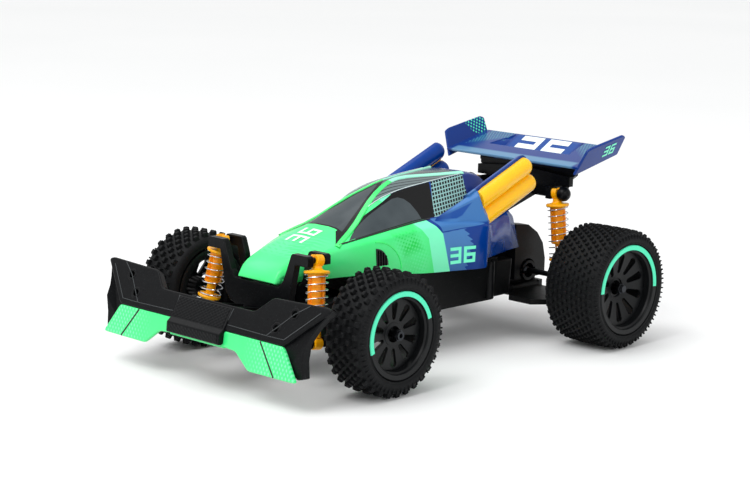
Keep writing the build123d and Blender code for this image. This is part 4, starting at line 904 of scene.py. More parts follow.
def edge_lines():
    """Thin pale bead on each roof edge, whose pale colour is a painted highlight along that edge, and black sealing
    lines round the windows.
    """
    for name, side in SIDES.items():
        # The pale bead on the roof edge is a painted highlight; the black belt seal is real trim.
        for tag, index, x0, x1, size, material in (
                ("roof_edge_highlight", 1, 28.0, -46.0, 0.25, painted_highlight_pale), ("belt_seal", 2, 60.0, -6.0, 0.45, trim_black)):
            points = []
            x = x0
            while x >= x1:
                y, z, _ = shell_half(x)[index]
                points.append((x, side * (y + 0.1), z + 0.1))
                x -= 3.0
            build(f"{tag}_{name}", *sweep(points, circle(size, 8), (0, 0, 1)), material, "chassis", "shell")


VENT_X, VENT_BASE, VENT_HEIGHT, VENT_WIDTH = 39.0, 55.6, 9.6, 8.4
VENT_RIBS, VENT_RIB_START, VENT_RIB_PITCH = 4, 1.2, 1.75


def quarter_turn(steps):
    """Angles from 0 to a quarter of a turn."""
    return [pi / 2 * k / steps for k in range(steps + 1)]


def vent_matrix(side):
    """Origin at the vent's lower front corner, X back along the shell's side and Z out of it."""
    back, level = VENT_X - VENT_WIDTH, 60.0
    y_front, y_back = shell_side(VENT_X, level), shell_side(back, level)
    run = Vector((back - VENT_X, side * (y_back - y_front), 0))
    normal = run.cross(Vector((0, side * -0.06, 1)))
    if normal.y * side < 0:
        normal = -normal
    origin = Vector((VENT_X, side * y_front, VENT_BASE)) + normal.normalized() * 0.7
    return frame_at(origin, run.normalized(), normal)


def side_vents():
    """Half-oval intake with upright ribs on each side of the shell, and the arched line round it."""
    for name, side in SIDES.items():
        matrix = vent_matrix(side)
        up = 1 if matrix.to_3x3().col[1].z > 0 else -1
        arc = [(VENT_WIDTH * sin(a), up * VENT_HEIGHT * cos(a)) for a in quarter_turn(12)]
        plate(f"side_vent_{name}", [[(0.0, 0.0)] + arc], 1.6, 0.4, matrix, trim_black, "chassis")
        ribs = []
        for k in range(VENT_RIBS):
            v = VENT_RIB_START + VENT_RIB_PITCH * k
            height = VENT_HEIGHT * sqrt(1 - (v / VENT_WIDTH) ** 2) - 0.7
            place = matrix @ Matrix.Translation((v, up * height / 2, 0.0))
            ribs.append(box_shape(place, (0.7, height, 0.8), 0.1, 0.2))
        build(f"vent_ribs_{name}", *join(*ribs), black_satin, "chassis", "shell")
        arch = []
        for a in quarter_turn(14):
            x = VENT_X - (VENT_WIDTH + 9.0) * sin(a)
            z = VENT_BASE - 3.0 + (VENT_HEIGHT + 6.5) * cos(a)
            arch.append((x, side * (shell_side(x, z) + 0.02), z))
        build(f"arch_contour_{name}", *sweep(arch, circle(0.4, 6), (0, side, 0)), trim_green, "chassis", "shell")


# ---------------------------------------------------------------- racing number, made of plain bars
BARS = {
    "top": ((0.0, 1.0), (1.0, 1.0)), "middle": ((0.0, 0.5), (1.0, 0.5)), "bottom": ((0.0, 0.0), (1.0, 0.0)),
    "upper_left": ((0.0, 0.5), (0.0, 1.0)), "upper_right": ((1.0, 0.5), (1.0, 1.0)),
    "lower_left": ((0.0, 0.0), (0.0, 0.5)), "lower_right": ((1.0, 0.0), (1.0, 0.5)),
}
DIGITS = {"3": ("top", "middle", "bottom", "upper_right", "lower_right"),
          "6": ("top", "middle", "bottom", "upper_left", "lower_left", "lower_right")}
NUMBER = "36"
INK_LIFT, CELLS_PER_BAR = 0.1, 6


def number_bars(width, height, weight, gap):
    """Bars of the racing number in (u, v), centred on the origin; upright bars end at the level ones."""
    quads = []
    total = len(NUMBER) * width + (len(NUMBER) - 1) * gap
    for place, digit in enumerate(NUMBER):
        left = -total / 2 + place * (width + gap)
        for bar in DIGITS[digit]:
            (u0, v0), (u1, v1) = BARS[bar]
            reach_u, reach_v = width - weight, height - weight
            a = (left + weight / 2 + u0 * reach_u, -height / 2 + weight / 2 + v0 * reach_v)
            b = (left + weight / 2 + u1 * reach_u, -height / 2 + weight / 2 + v1 * reach_v)
            end = -weight / 2 if u0 == u1 else weight / 2
            low = (min(a[0], b[0]) - weight / 2, min(a[1], b[1]) - end)
            high = (max(a[0], b[0]) + weight / 2, max(a[1], b[1]) + end)
            quads.append((low, high))
    return quads


def number(name, place, width, height, weight, gap, material, slot):
    """Printed number; place turns (u, v) and a lift into a point on the surface."""
    parts = []
    for low, high in number_bars(width, height, weight, gap):
        rows = []
        for i in range(CELLS_PER_BAR + 1):
            u = low[0] + (high[0] - low[0]) * i / CELLS_PER_BAR
            levels = [low[1] + (high[1] - low[1]) * j / CELLS_PER_BAR for j in range(CELLS_PER_BAR + 1)]
            rows.append([place(u, v, INK_LIFT) for v in levels])
        parts.append(grid(rows))
    build(name, *join(*parts), material, "chassis", slot)


def shell_numbers():
    """White number across the hood and a mint one on each side."""
    def on_hood(u, v, lift):
        x, y = 64.8 - u, -v
        return (x + 0.4 * lift, y, shell_height(x, y) + 0.25 + lift)

    number("hood_number", on_hood, 7.0, 13.0, 1.9, 2.2, white_ink, "shell")
    for name, side in SIDES.items():
        def on_side(u, v, lift, side=side):
            x, z = -23.0 - side * u, 55.6 + v
            return (x, side * (shell_side(x, z) + 0.06 + lift), z)
        number(f"side_number_{name}", on_side, 7.6, 9.4, 1.9, 1.6, mint_ink, "shell")


# ---------------------------------------------------------------- pipes and their fairings
PIPE_R, PIPE_SPACING, PIPE_TILT, PIPE_Y = 5.5, 10.6, 22.4, 33.6
PIPE_FRONT_TOP = (-36.6, 89.3)
PIPE_END, DOME_SHARE = 46.8, 0.9


def pipe_matrix(side):
    """X runs back along the pipes, Y outwards and Z across the pair."""
    tilt = radians(PIPE_TILT)
    x = Vector((-cos(tilt), 0, sin(tilt)))
    z = Vector((sin(tilt), 0, cos(tilt)))
    m = Matrix((x, Vector((0, side, 0)), z)).transposed().to_4x4()
    m.translation = Vector((PIPE_FRONT_TOP[0], side * PIPE_Y, PIPE_FRONT_TOP[1]))
    return m


def capsule(matrix, start, end, across, radius, facing, lean=0.0):
    """Half of a domed round bar on the outer (facing 1) or the inner side (facing -1)."""
    steps, dome_steps = 20, 8
    dome = radius * DOME_SHARE
    stations = [(start, radius), ((start + end) / 2, radius), (end - dome, radius)]
    stations += [(end - dome + dome * sin(a), max(radius * cos(a), 0.02)) for a in quarter_turn(dome_steps)[1:]]
    rows = []
    for s, r in stations:
        row = []
        for j in range(steps + 1):
            a = -pi / 2 + pi * j / steps
            shift = lean * sin(a) * radius if s == start else 0.0
            row.append(matrix @ Vector((s + shift, facing * r * cos(a), across + r * sin(a))))
        rows.append(row)
    return grid(rows, closed=True, caps=True)


def exhaust_pipes():
    """Pair of yellow domed pipes on each side, in a blue fairing that also backs them."""
    for name, side in SIDES.items():
        matrix = pipe_matrix(side)
        upper, lower = -PIPE_R, -PIPE_R - PIPE_SPACING
        outer = join(capsule(matrix, -1.0, PIPE_END, upper, PIPE_R, 1, 0.35),
                     capsule(matrix, -4.6, PIPE_END, lower, PIPE_R, 1, 0.35))
        build(f"exhaust_pair_{name}", *outer, pipe_yellow, "chassis", "pipe_yellow",
              ["exhaust_pipes"] if side == 1 else ())
        inner = join(capsule(matrix, -6.0, PIPE_END - 0.4, upper + 1.7, PIPE_R, -1),
                     capsule(matrix, -6.0, PIPE_END - 0.4, lower, PIPE_R - 0.05, -1))
        build(f"pipe_fairing_inner_{name}", *inner, pod_blue, "chassis", "shell")
        fairing(name, side)


def fairing(name, side):
    """Faceted blue fairing that grows out of the shoulder up to the front of the pipes."""
    base = {
        "tip": (-7.4, 28.4, 76.2), "ridge": (-36.9, 33.6, 90.3), "cap": (-34.6, 38.4, 88.2),
        "knee": (-38.4, 40.0, 77.2), "foot": (-41.0, 40.6, 70.8), "crease": (-10.0, 33.0, 71.0),
        "mid": (-23.0, 34.2, 75.6), "inner_top": (-39.0, 28.8, 86.2), "inner_low": (-44.0, 27.4, 76.0),
        "back_top": (-48.0, 33.6, 93.0), "back_out": (-40.0, 33.4, 84.0), "back_in": (-50.0, 28.6, 86.0),
        "tail": (-54.0, 32.6, 76.0),
    }
    p = {key: (x, side * y, z) for key, (x, y, z) in base.items()}
    index = {key: i for i, key in enumerate(p)}
    faces = [("tip", "ridge", "cap"), ("tip", "cap", "mid"), ("mid", "cap", "knee"), ("tip", "mid", "crease"),
             ("mid", "knee", "foot", "crease"), ("tip", "inner_top", "ridge"), ("tip", "inner_low", "inner_top"),
             ("tip", "crease", "inner_low"), ("crease", "foot", "tail", "inner_low"),
             ("ridge", "inner_top", "back_in", "back_top"), ("inner_top", "inner_low", "tail", "back_in"),
             ("ridge", "back_top", "back_out", "cap"), ("cap", "back_out", "knee"), ("back_out", "tail", "knee"),
             ("knee", "tail", "foot"), ("back_top", "back_in", "tail"), ("back_top", "tail", "back_out")]
    piece = build(f"pipe_fairing_{name}", list(p.values()), [tuple(index[k] for k in face) for face in faces],
                  pod_blue, "chassis", "shell", sharp=60)
    soften(piece, 0.7, 3, 20)


def thicken(piece, thickness):
    """Gives a skin its wall, inwards from the modelled surface."""
    wall = piece.modifiers.new("wall", "SOLIDIFY")
    wall.thickness = thickness * MM
    wall.offset = -1.0


def even_shading(piece):
    """Keeps large flat faces evenly lit beside small rounded ones."""
    weighted = piece.modifiers.new("even_shading", "WEIGHTED_NORMAL")
    weighted.keep_sharp = True
    weighted.weight = 100


def soften(piece, width, steps, angle):
    """Rounded edges by a bevel where faces meet at more than the angle."""
    bevel = piece.modifiers.new("soft_edges", "BEVEL")
    bevel.width = width * MM
    bevel.segments = steps
    bevel.limit_method = "ANGLE"
    bevel.angle_limit = radians(angle)
    bevel.use_clamp_overlap = True
    even_shading(piece)


# ---------------------------------------------------------------- front bumper and skirt
BUMPER_FOLD_X, BUMPER_FOLD_Z, BUMPER_RAKE = 139.2, 34.5, 0.56
STRETCH = sqrt(1 + BUMPER_RAKE ** 2)


def bumper_matrix():
    """Front surface of the raked plate: X to the left, Y up the slope and Z forwards."""
    normal = Vector((1, 0, BUMPER_RAKE))
    return frame_at((BUMPER_FOLD_X, 0, BUMPER_FOLD_Z), (0, 1, 0), normal)


def on_bumper(y, z):
    """Place on the raked plate, in its matrix's X and Y, of a point given by its y and z."""
    return (y, (z - BUMPER_FOLD_Z) * STRETCH)


BUMPER_HALF = [(36.0, 45.6), (45.5, 53.6), (84.0, 54.8), (87.2, 53.4), (64.0, 33.6)]
BUMPER_HOLES = [(63.7, 48.4), (55.0, 40.4)]
BUMPER_HOLE_R, BUMPER_BOSS_R = 1.9, 3.3
QUILT_STEP, QUILT_ASPECT, QUILT_EDGE = 0.5, 0.72, 0.32


def quilt(name, matrix, half_width, low, high, pitch, depth):
    """Panel of raised diamonds on the matrix's XY plane."""
    rows = []
    count_v = int((high - low) / QUILT_STEP)
    count_u = int(2 * half_width / QUILT_STEP)
    for j in range(count_v + 1):
        v = low + (high - low) * j / count_v
        row = []
        for i in range(count_u + 1):
            u = -half_width + 2 * half_width * i / count_u
            a = (u / pitch + v / (QUILT_ASPECT * pitch)) % 1.0
            b = (u / pitch - v / (QUILT_ASPECT * pitch)) % 1.0
            lift = min(a, 1 - a, b, 1 - b, QUILT_EDGE) / QUILT_EDGE
            row.append(matrix @ Vector((u, v, depth * lift)))
        rows.append(row)
    points, faces = grid(rows)
    return build(name, points, faces, black_satin, "chassis", "black_plastic", sharp=60)


def front_bumper():
    """Raked plate with two raised holes in each ear, its moulded lines, quilted centre, fins and arm."""
    matrix = bumper_matrix()
    half = [on_bumper(y, z) for y, z in BUMPER_HALF]
    outline = rounded(half + mirrored(half), 1.9, closed=True)
    holes = [on_bumper(side * y, z) for side in (-1, 1) for y, z in BUMPER_HOLES]
    pieces = [plate("bumper_plate", [outline] + [ring(hole, BUMPER_HOLE_R) for hole in holes], 4.8, 0.8, matrix,
                    black_satin, "chassis", ["front_bumper"], steps=3)]
    for hole in holes:
        pieces.append(plate("bumper_boss", [ring(hole, BUMPER_BOSS_R), ring(hole, BUMPER_HOLE_R)], 5.6, 0.4,
                            matrix @ Matrix.Translation((0, 0, 0.25)), black_satin, "chassis"))
    join_pieces("bumper_plate", pieces)
    bumper_lines(matrix)
    bumper_centre()
    bumper_fins()
    bumper_arm()


BUMPER_LINES = {
    "border": [(21.4, 36.6), (52.0, 36.2), (63.2, 36.4), (80.5, 51.6)],
    "hole": [(72.0, 53.6), (63.7, 48.4), (55.0, 40.4), (50.5, 36.3)],
    "centre": [(19.9, 34.6), (21.2, 44.4)],
}


def bumper_lines(matrix):
    """Thin moulded lines along the lower border, beside the centre panel and through the holes of each ear, drawn as
    beads whose lighter grey is a painted highlight on the grooves.
    """
    # Lighter grey of the lines: a painted highlight where the moulded grooves catch the light.
    line_highlight = moulded("painted_line_highlight", srgb(54, 58, 60), 0.3, 0.01)
    up = matrix.to_3x3().col[2]
    for name, side in SIDES.items():
        for tag, run in BUMPER_LINES.items():
            points = [matrix @ Vector((*on_bumper(side * y, z), 0.06)) for y, z in run]
            build(f"bumper_line_{tag}_{name}", *sweep(points, circle(0.22, 6), up), line_highlight, "chassis",
                  "black_plastic")


BUMPER_CENTRE = [(134.2, 44.6), (140.6, 34.2), (143.4, 32.0), (143.8, 26.6), (141.5, 26.2), (136.0, 29.0),
                 (131.0, 43.4)]


def bumper_centre():
    """Folded, diamond-quilted centre: a slope above the fold and a short upright face below it."""
    rows = [[(x, y, z) for x, z in BUMPER_CENTRE] for y in (-20.6, 20.6)]
    centre = build("bumper_centre", *grid(rows, closed=True, caps=True), black_satin, "chassis", "black_plastic")
    soften(centre, 0.5, 2, 15)
    for tag, top, foot in (("upper", 0, 1), ("lower", 2, 3)):
        (x0, z0), (x1, z1) = BUMPER_CENTRE[foot], BUMPER_CENTRE[top]
        length = sqrt((x1 - x0) ** 2 + (z1 - z0) ** 2)
        plane = frame_at((x0, 0, z0), (0, 1, 0), (z1 - z0, 0, x0 - x1))
        quilt(f"bumper_quilt_{tag}", plane @ Matrix.Translation((0, 0, 0.02)), 19.4, 0.5, length - 0.5, 2.9, 0.35)


def bumper_fins():
    """Concave black fin behind each end of the skirt, and the backing plate between them."""
    fin = [(62.0, 34.0), (84.0, 52.4), (83.8, 49.6), (81.0, 45.0), (79.0, 40.6), (77.4, 35.5), (76.4, 27.2),
           (77.0, 18.6), (73.0, 17.6), (68.0, 24.5)]
    for name, side in SIDES.items():
        rows = []
        for x, spread in ((138.2, 0.0), (135.8, 0.3), (133.4, 0.6)):
            rows.append([(x - BUMPER_RAKE * max(0.0, z - BUMPER_FOLD_Z), side * (y + spread), z) for y, z in fin])
        piece = build(f"bumper_fin_{name}", *grid(rows, closed=True, caps=True), black_satin, "chassis",
                      "black_plastic", sharp=40)
        soften(piece, 0.5, 2, 30)
    backing = [(63.0, 34.3), (73.6, 18.4), (41.5, 18.4), (31.5, 26.0)]
    loop = rounded(backing + mirrored(backing), 1.0, closed=True)
    matrix = frame_at((138.3, 0, 0), (0, 1, 0), (1, 0, 0))
    plate("bumper_backing", [loop], 2.6, 0.5, matrix, black_plastic, "chassis")


def bumper_arm():
    """Arm from the chassis nose to the bumper, with two stiffening ribs on top."""
    nose = node_box("chassis_tub")[1].x
    rows = []
    for x, half, low, high in ((nose + 0.1, 11.0, 26.2, 34.0), (nose + 8, 11.0, 26.2, 37.0),
                               (124.0, 11.5, 27.0, 39.5), (133.5, 12.5, 29.0, 41.5)):
        rows.append([(x, half, low), (x, half, high), (x, -half, high), (x, -half, low)])
    arm = build("bumper_arm", *grid(rows, closed=True, caps=True), black_plastic, "chassis", "black_plastic")
    soften(arm, 0.8, 3, 25)
    ribs = []
    for y in (-6.5, 6.5):
        ribs.append(box_shape(frame_at((117.0, y, 37.4), (1, 0, 0.18), (-0.18, 0, 1)), (28.0, 1.4, 3.0), 0.1, 0.3))
    build("bumper_arm_ribs", *join(*ribs), black_plastic, "chassis", "black_plastic")


SKIRT_X, SKIRT_FOOT, SKIRT_LEAN = 142.1, 17.0, 0.15
SKIRT_HALF = [(63.8, 33.2), (75.2, 17.2), (72.8, 16.8), (40.8, 16.6), (30.2, 24.6), (20.2, 25.4), (20.2, 33.4)]


def bumper_skirt():
    """Two mint lobes joined by a narrow bridge, leaning forwards at their lower edge, each with a dark divider."""
    matrix = frame_at((SKIRT_X, 0, SKIRT_FOOT), (0, 1, 0), (1, 0, SKIRT_LEAN))
    stretch = sqrt(1 + SKIRT_LEAN ** 2)
    half = [(y, (z - SKIRT_FOOT) * stretch) for y, z in SKIRT_HALF]
    pieces = []
    for name, side in SIDES.items():
        loop = rounded([(side * y, v) for y, v in half], 1.4, closed=True)
        pieces.append(plate(f"bumper_skirt_{name}", [loop], 2.6, 0.8, matrix, skirt_print, "chassis",
                            ["bumper_skirt"] if side == 1 else ()))
    low, high = 24.7 - SKIRT_FOOT, 27.6 - SKIRT_FOOT
    bridge = rounded([(21.0, low), (21.0, high), (-21.0, high), (-21.0, low)], 0.4, closed=True)
    pieces.append(plate("skirt_bridge", [bridge], 2.4, 0.6, matrix @ Matrix.Translation((0, 0, -0.1)), skirt_print,
                        "chassis"))
    join_pieces("bumper_skirt_panel", pieces)
    up = matrix.to_3x3().col[2]
    for name, side in SIDES.items():
        top = matrix @ Vector((side * 47.6, (33.0 - SKIRT_FOOT) * stretch, -0.02))
        foot = matrix @ Vector((side * 60.0, 0.1, -0.02))
        divider = sweep([top, foot], [(-0.5, -0.3), (-0.5, 0.1), (0.5, 0.1), (0.5, -0.3)], up)
        build(f"skirt_divider_{name}", *divider, trim_black, "chassis", "black_plastic")


# ---------------------------------------------------------------- wing
WING_FRONT_X, WING_FRONT_Z, WING_SLOPE = -105.5, 99.5, 0.22
WING_REAR = CAD_BOX[0].x / MM
WING_HALF_FRONT, WING_HALF_REAR, WING_THICKNESS = 51.4, 52.3, 1.8
RECESS_FRONT, RECESS_DEPTH, RECESS_HALF, RECESS_TAPER = -122.5, 6.5, 31.0, 5.0
RECESS_LENGTH = RECESS_FRONT - WING_REAR - 1.5
ENDPLATE_OUT, ENDPLATE_THICKNESS = 1.2, 1.7


def wing_top(x):
    """Height of the wing's top surface."""
    return WING_FRONT_Z + WING_SLOPE * (WING_FRONT_X - x)


def rear_wing():
    """Sloping plane with a sunk middle, leaning endplates and its printed numbers."""
    stretch = sqrt(1 + WING_SLOPE ** 2)
    chord = (WING_FRONT_X - WING_REAR) * stretch
    front, rear = (WING_FRONT_X - RECESS_FRONT) * stretch, chord - 1.4
    narrow = RECESS_HALF - RECESS_TAPER
    # X to the car's right, Y forwards down the slope and Z out of the top surface
    matrix = frame_at((WING_FRONT_X, 0, WING_FRONT_Z), (0, -1, 0), (WING_SLOPE, 0, 1))
    outline = [(-WING_HALF_FRONT, 0.0), (WING_HALF_FRONT, 0.0), (WING_HALF_REAR, -chord), (-WING_HALF_REAR, -chord)]
    hole = [(-RECESS_HALF, -front), (RECESS_HALF, -front), (narrow, -rear), (-narrow, -rear)]
    loops = [rounded(outline, 0.8, closed=True), rounded(hole, 0.8, closed=True)]
    pieces = [plate("wing_plane", loops, WING_THICKNESS, 0.6, matrix, wing_blue, "chassis",
                    ["rear_wing"]), wing_recess()]
    pieces += [endplate(name, side) for name, side in SIDES.items()]
    join_pieces("wing_surfaces", pieces)
    wing_number()


def recess_floor(x):
    """Height of the recess's floor, which meets the wing's top at the rear edge."""
    low = wing_top(RECESS_FRONT) - RECESS_DEPTH
    return low + (wing_top(WING_REAR) - low) * (RECESS_FRONT - x) / RECESS_LENGTH


def wing_recess():
    """Sunk middle of the wing: sloping floor with slanted side walls and an upright front wall."""
    steps = 8
    narrow = RECESS_HALF - RECESS_TAPER
    floor_half = narrow - 0.2
    x = RECESS_FRONT + 0.05
    rows = [[(x, y, wing_top(x) - 0.6) for y in (RECESS_HALF, narrow, -narrow, -RECESS_HALF)]]
    for i in range(steps + 1):
        x = RECESS_FRONT - RECESS_LENGTH * i / steps
        rim_half = RECESS_HALF - RECESS_TAPER * i / steps
        top, low = wing_top(x) - 0.6, recess_floor(x)
        rows.append([(x, rim_half, top), (x, floor_half, low), (x, -floor_half, low), (x, -rim_half, top)])
    piece = build("wing_recess", *grid(rows), wing_blue, "chassis", "wing_blue", sharp=25)
    shape = bmesh.new()
    shape.from_mesh(piece.data)
    bmesh.ops.solidify(shape, geom=shape.faces, thickness=1.2 * MM)
    shape.to_mesh(piece.data)
    shape.free()
    return piece


def endplate_y(x, z):
    """Distance of the leaning endplate's outline from the centre plane."""
    return 48.9 + 0.4736 * (z - 95.5) + 0.0795 * (x + 105.5)


def endplate(name, side):
    """Leaning endplate with rounded edges."""
    outline = [(-105.0, 94.6), (-108.4, 109.5), (-112.0, 111.0), (-141.0, 116.2), (WING_REAR, 115.2),
               (WING_REAR + 0.5, 104.0)]
    places = [Vector((x, side * endplate_y(x, z), z)) for x, z in outline]
    along, up = places[5] - places[0], places[3] - places[0]
    normal = up.cross(along)
    if normal.y * side < 0:
        normal = -normal
    matrix = frame_at(places[0], along, normal)
    back = matrix.inverted()
    loop = rounded([(back @ place).xy for place in places], 1.0, closed=True)
    return plate(f"wing_endplate_{name}", [loop], ENDPLATE_THICKNESS, 0.6,
                 matrix @ Matrix.Translation((0, 0, ENDPLATE_OUT)), wing_blue, "chassis")


def wing_number():
    """White number in the recess and a mint one on each endplate."""
    def in_recess(u, v, lift):
        x = -132.8 - v * 0.98
        return (x, u, recess_floor(x) + 0.05 + lift)

    number("wing_number", in_recess, 16.2, 18.0, 4.1, 4.4, white_ink, "wing_blue")
    for name, side in SIDES.items():
        def on_plate(u, v, lift, side=side):
            x = -131.5 - side * u
            z = 107.8 + v + 0.19 * (-131.5 - x)
            return (x, side * (endplate_y(x, z) + 1.42 + lift), z)
        number(f"endplate_number_{name}", on_plate, 4.6, 6.4, 1.2, 1.0, mint_ink, "wing_blue")


# ---------------------------------------------------------------- wheels
TYRES = {
    "front": dict(radius=33.0, bead=23.45, inner=59.9, outer=86.6, knob=2.1, rows=6, around=30, size=(3.3, 2.8),
                  taper=0.45, ribs=60),
    "rear": dict(radius=34.55, bead=26.15, inner=59.8, outer=96.9, knob=1.5, rows=10, around=44, size=(2.4, 2.0),
                 taper=0.35, ribs=72),
}
TREAD_MARGIN, KNOB_ROOT = 1.6, 0.9
RIMS = {
    "front": dict(seat=20.0, flange=23.2, inner=59.9, outer=86.6, disc=80.5, dish=-1.2),
    "rear": dict(seat=22.6, flange=25.9, inner=59.8, outer=96.9, disc=90.5, dish=-5.0),
}
SPIN_STEPS, SLOTS = 120, 10


def tyre_profile(t):
    """Closed outline of the carcass as (radius, y), bulging at the sidewalls and crowned at the tread."""
    crown = t["radius"] - t["knob"]
    bead, inner, outer = t["bead"], t["inner"], t["outer"]
    middle = (inner + outer) / 2
    return [(bead, outer - 3.0), (bead + 0.1, outer - 1.0), (bead + 0.5, outer - 0.35), (bead + 1.4, outer - 0.5),
            (bead + 1.8, outer - 0.15), (bead + 3.2, outer - 0.02), (crown - 2.6, outer - 0.35),
            (crown - 1.0, outer - 1.3), (crown - 0.35, outer - 2.8), (crown, middle + 5), (crown, middle - 5),
            (crown - 0.35, inner + 2.8), (crown - 1.0, inner + 1.3), (crown - 2.6, inner + 0.35),
            (bead + 3.2, inner + 0.02), (bead + 1.4, inner + 0.4), (bead, inner + 2.6), (bead + 2.2, inner + 4.5),
            (crown - 2.2, inner + 5.0), (crown - 2.2, outer - 5.0), (bead + 2.2, outer - 4.5)]


def knob_frame(centre, angle, y, radius, side):
    """Frame on the tread: X around the tyre, Y across it, Z outwards."""
    out = Vector((cos(angle), 0, sin(angle)))
    origin = Vector((centre[0], side * y, centre[2])) + out * radius
    return frame_at(origin, (-sin(angle), 0, cos(angle)), out)


def tyre(end, name, side):
    """Hollow carcass with staggered rows of knobs, and short ribs round the outer shoulder."""
    t = TYRES[end]
    centre = WHEELS[end]["centre"]
    axis = (centre[0], 0, centre[2])
    parts = [turned([(r, side * y) for r, y in tyre_profile(t)], axis, SPIN_STEPS)]
    crown = t["radius"] - t["knob"]
    span = t["outer"] - t["inner"] - 2 * TREAD_MARGIN
    for row in range(t["rows"]):
        share = (row + 0.5) / t["rows"]
        y = t["inner"] + TREAD_MARGIN + span * share
        drop = 0.45 * abs(2 * share - 1) ** 4
        for k in range(t["around"]):
            angle = 2 * pi * (k + 0.5 * (row % 2)) / t["around"]
            base = knob_frame(axis, angle, y, crown - KNOB_ROOT, side)
            parts.append(box_shape(base, (*t["size"], t["knob"] + KNOB_ROOT - drop), t["taper"], 0.25))
    for k in range(t["ribs"]):
        angle = 2 * pi * k / t["ribs"]
        out = Vector((cos(angle), 0, sin(angle)))
        origin = Vector((axis[0], side * (t["outer"] - 0.9), axis[2])) + out * (crown - 2.4)
        parts.append(box_shape(frame_at(origin, out, (0, side, 0)), (3.4, 0.8, 0.95), 0.15, 0.15))
    build(f"{end}_tyre_tread_{name}", *join(*parts), tyre_rubber, f"{end}_wheel_{name}", "tyre",
          [f"{end}_tyre_{name}"], sharp=40)


def slot_half_angle(r, near, far, narrow, wide):
    """Half the angle that a teardrop slot takes at radius r, and 0 outside it."""
    if r <= near or r >= far:
        return 0.0
    half = narrow + (wide - narrow) * (r - near) / (far - near)
    if r < near + narrow:
        half = sqrt(max(0.0, narrow ** 2 - (near + narrow - r) ** 2))
    if r > far - wide:
        half = sqrt(max(0.0, wide ** 2 - (r - (far - wide)) ** 2))
    return asin(min(0.9, half / r))


def slot_size(edge):
    """Radii where the teardrop slots start and end, and half their width there."""
    return 0.40 * edge, 0.93 * edge, 0.052 * edge, 0.128 * edge


def disc_radii(edge):
    """Radii of the disc's rings of points, closer together at the slots' round ends."""
    near, far, narrow, wide = slot_size(edge)
    radii = [5.4, 0.36 * edge, near]
    radii += [near + narrow * (1 - cos(pi / 2 * k / 3)) for k in (1, 2, 3)]
    radii += [near + narrow + (far - wide - near - narrow) * k / 5 for k in range(1, 6)]
    radii += [far - wide + wide * sin(pi / 2 * k / 4) for k in (1, 2, 3, 4)]
    return radii + [edge]


def disc_skin(end, side):
    """Points and faces of the dished disc; each slot is left out between its two middle columns."""
    g, centre = RIMS[end], WHEELS[end]["centre"]
    edge = g["seat"] - 1.2
    near, far, _, _ = slot_size(edge)
    radii = disc_radii(edge)
    points, faces = [], []
    for r in radii:
        y = g["disc"] + g["dish"] * ((edge - r) / edge) ** 1.3
        half = slot_half_angle(r, *slot_size(edge))
        bridge = (pi / SLOTS + half) / 2
        for s in range(SLOTS):
            for offset in (-pi / SLOTS, -bridge, -half, half, bridge):
                a = 2 * pi * (s + 0.5) / SLOTS + offset
                points.append((centre[0] + r * cos(a), side * y, centre[2] + r * sin(a)))
    columns = SLOTS * 5
    for i in range(len(radii) - 1):
        slotted = radii[i] >= near - 1e-6 and radii[i + 1] <= far + 1e-6
        for a in range(columns):
            if a % 5 == 2 and slotted:
                continue
            b = (a + 1) % columns
            faces.append((i * columns + a, i * columns + b, (i + 1) * columns + b, (i + 1) * columns + a))
    return points, faces


def wheel_disc(end, name, side):
    """Dished disc with ten teardrop slots round the hub."""
    points, faces = disc_skin(end, side)
    shape = bmesh.new()
    verts = [shape.verts.new(Vector(p) * MM) for p in points]
    for face in faces:
        shape.faces.new([verts[i] for i in face])
    bmesh.ops.remove_doubles(shape, verts=shape.verts, dist=0.04 * MM)
    bmesh.ops.recalc_face_normals(shape, faces=shape.faces)
    shape.faces.ensure_lookup_table()
    if shape.faces[0].normal.y * side < 0:
        bmesh.ops.reverse_faces(shape, faces=shape.faces)
    mesh = bpy.data.meshes.new(f"{end}_disc_{name}")
    shape.to_mesh(mesh)
    shape.free()
    shade(mesh, 40)
    disc = add_object(f"{end}_wheel_disc_{name}", mesh, rims[end], f"{end}_wheel_{name}")
    thicken(disc, 1.8)
    soften(disc, 0.3, 2, 50)


def rim(end, name, side):
    """Barrel with a flange at each side and a hub, and the slotted disc between them."""
    g, centre = RIMS[end], WHEELS[end]["centre"]
    seat, flange, inner, outer, disc = g["seat"], g["flange"], g["inner"], g["outer"], g["disc"]
    lip, hub_y = outer - 0.55, disc + g["dish"]
    barrel = [(seat, outer - 2.4), (flange - 0.3, outer - 2.4), (flange, outer - 2.0), (flange, lip - 0.35),
              (flange - 0.35, lip), (flange - 2.75, lip - 0.15), (flange - 3.05, lip - 0.5),
              (flange - 3.2, lip - 1.4), (seat - 0.9, lip - 2.2), (seat - 1.2, disc - 2.4),
              (seat - 1.4, inner + 1.0), (flange - 1.0, inner + 0.5), (flange, inner + 0.9),
              (flange, inner + 2.2), (seat, inner + 2.4)]
    hub = [(4.0, hub_y - 0.6), (4.3, hub_y + 0.9), (6.3, hub_y + 0.7), (6.9, hub_y - 0.6), (7.2, hub_y - 2.2),
           (5.8, hub_y - 3.2), (5.6, inner + 8.5), (2.1, inner + 8.5), (2.1, hub_y - 2.6), (4.0, hub_y - 2.6)]
    axis = (centre[0], 0, centre[2])
    parts = [turned([(r, side * y) for r, y in barrel], axis, SPIN_STEPS),
             turned([(r, side * y) for r, y in hub], axis, 48)]
    build(f"{end}_wheel_rim_{name}", *join(*parts), rims[end], f"{end}_wheel_{name}", "rim", [f"{end}_rim_{name}"],
          sharp=35)
    wheel_disc(end, name, side)


def wheels():
    for name, side in SIDES.items():
        for end in ("front", "rear"):
            tyre(end, name, side)
            rim(end, name, side)


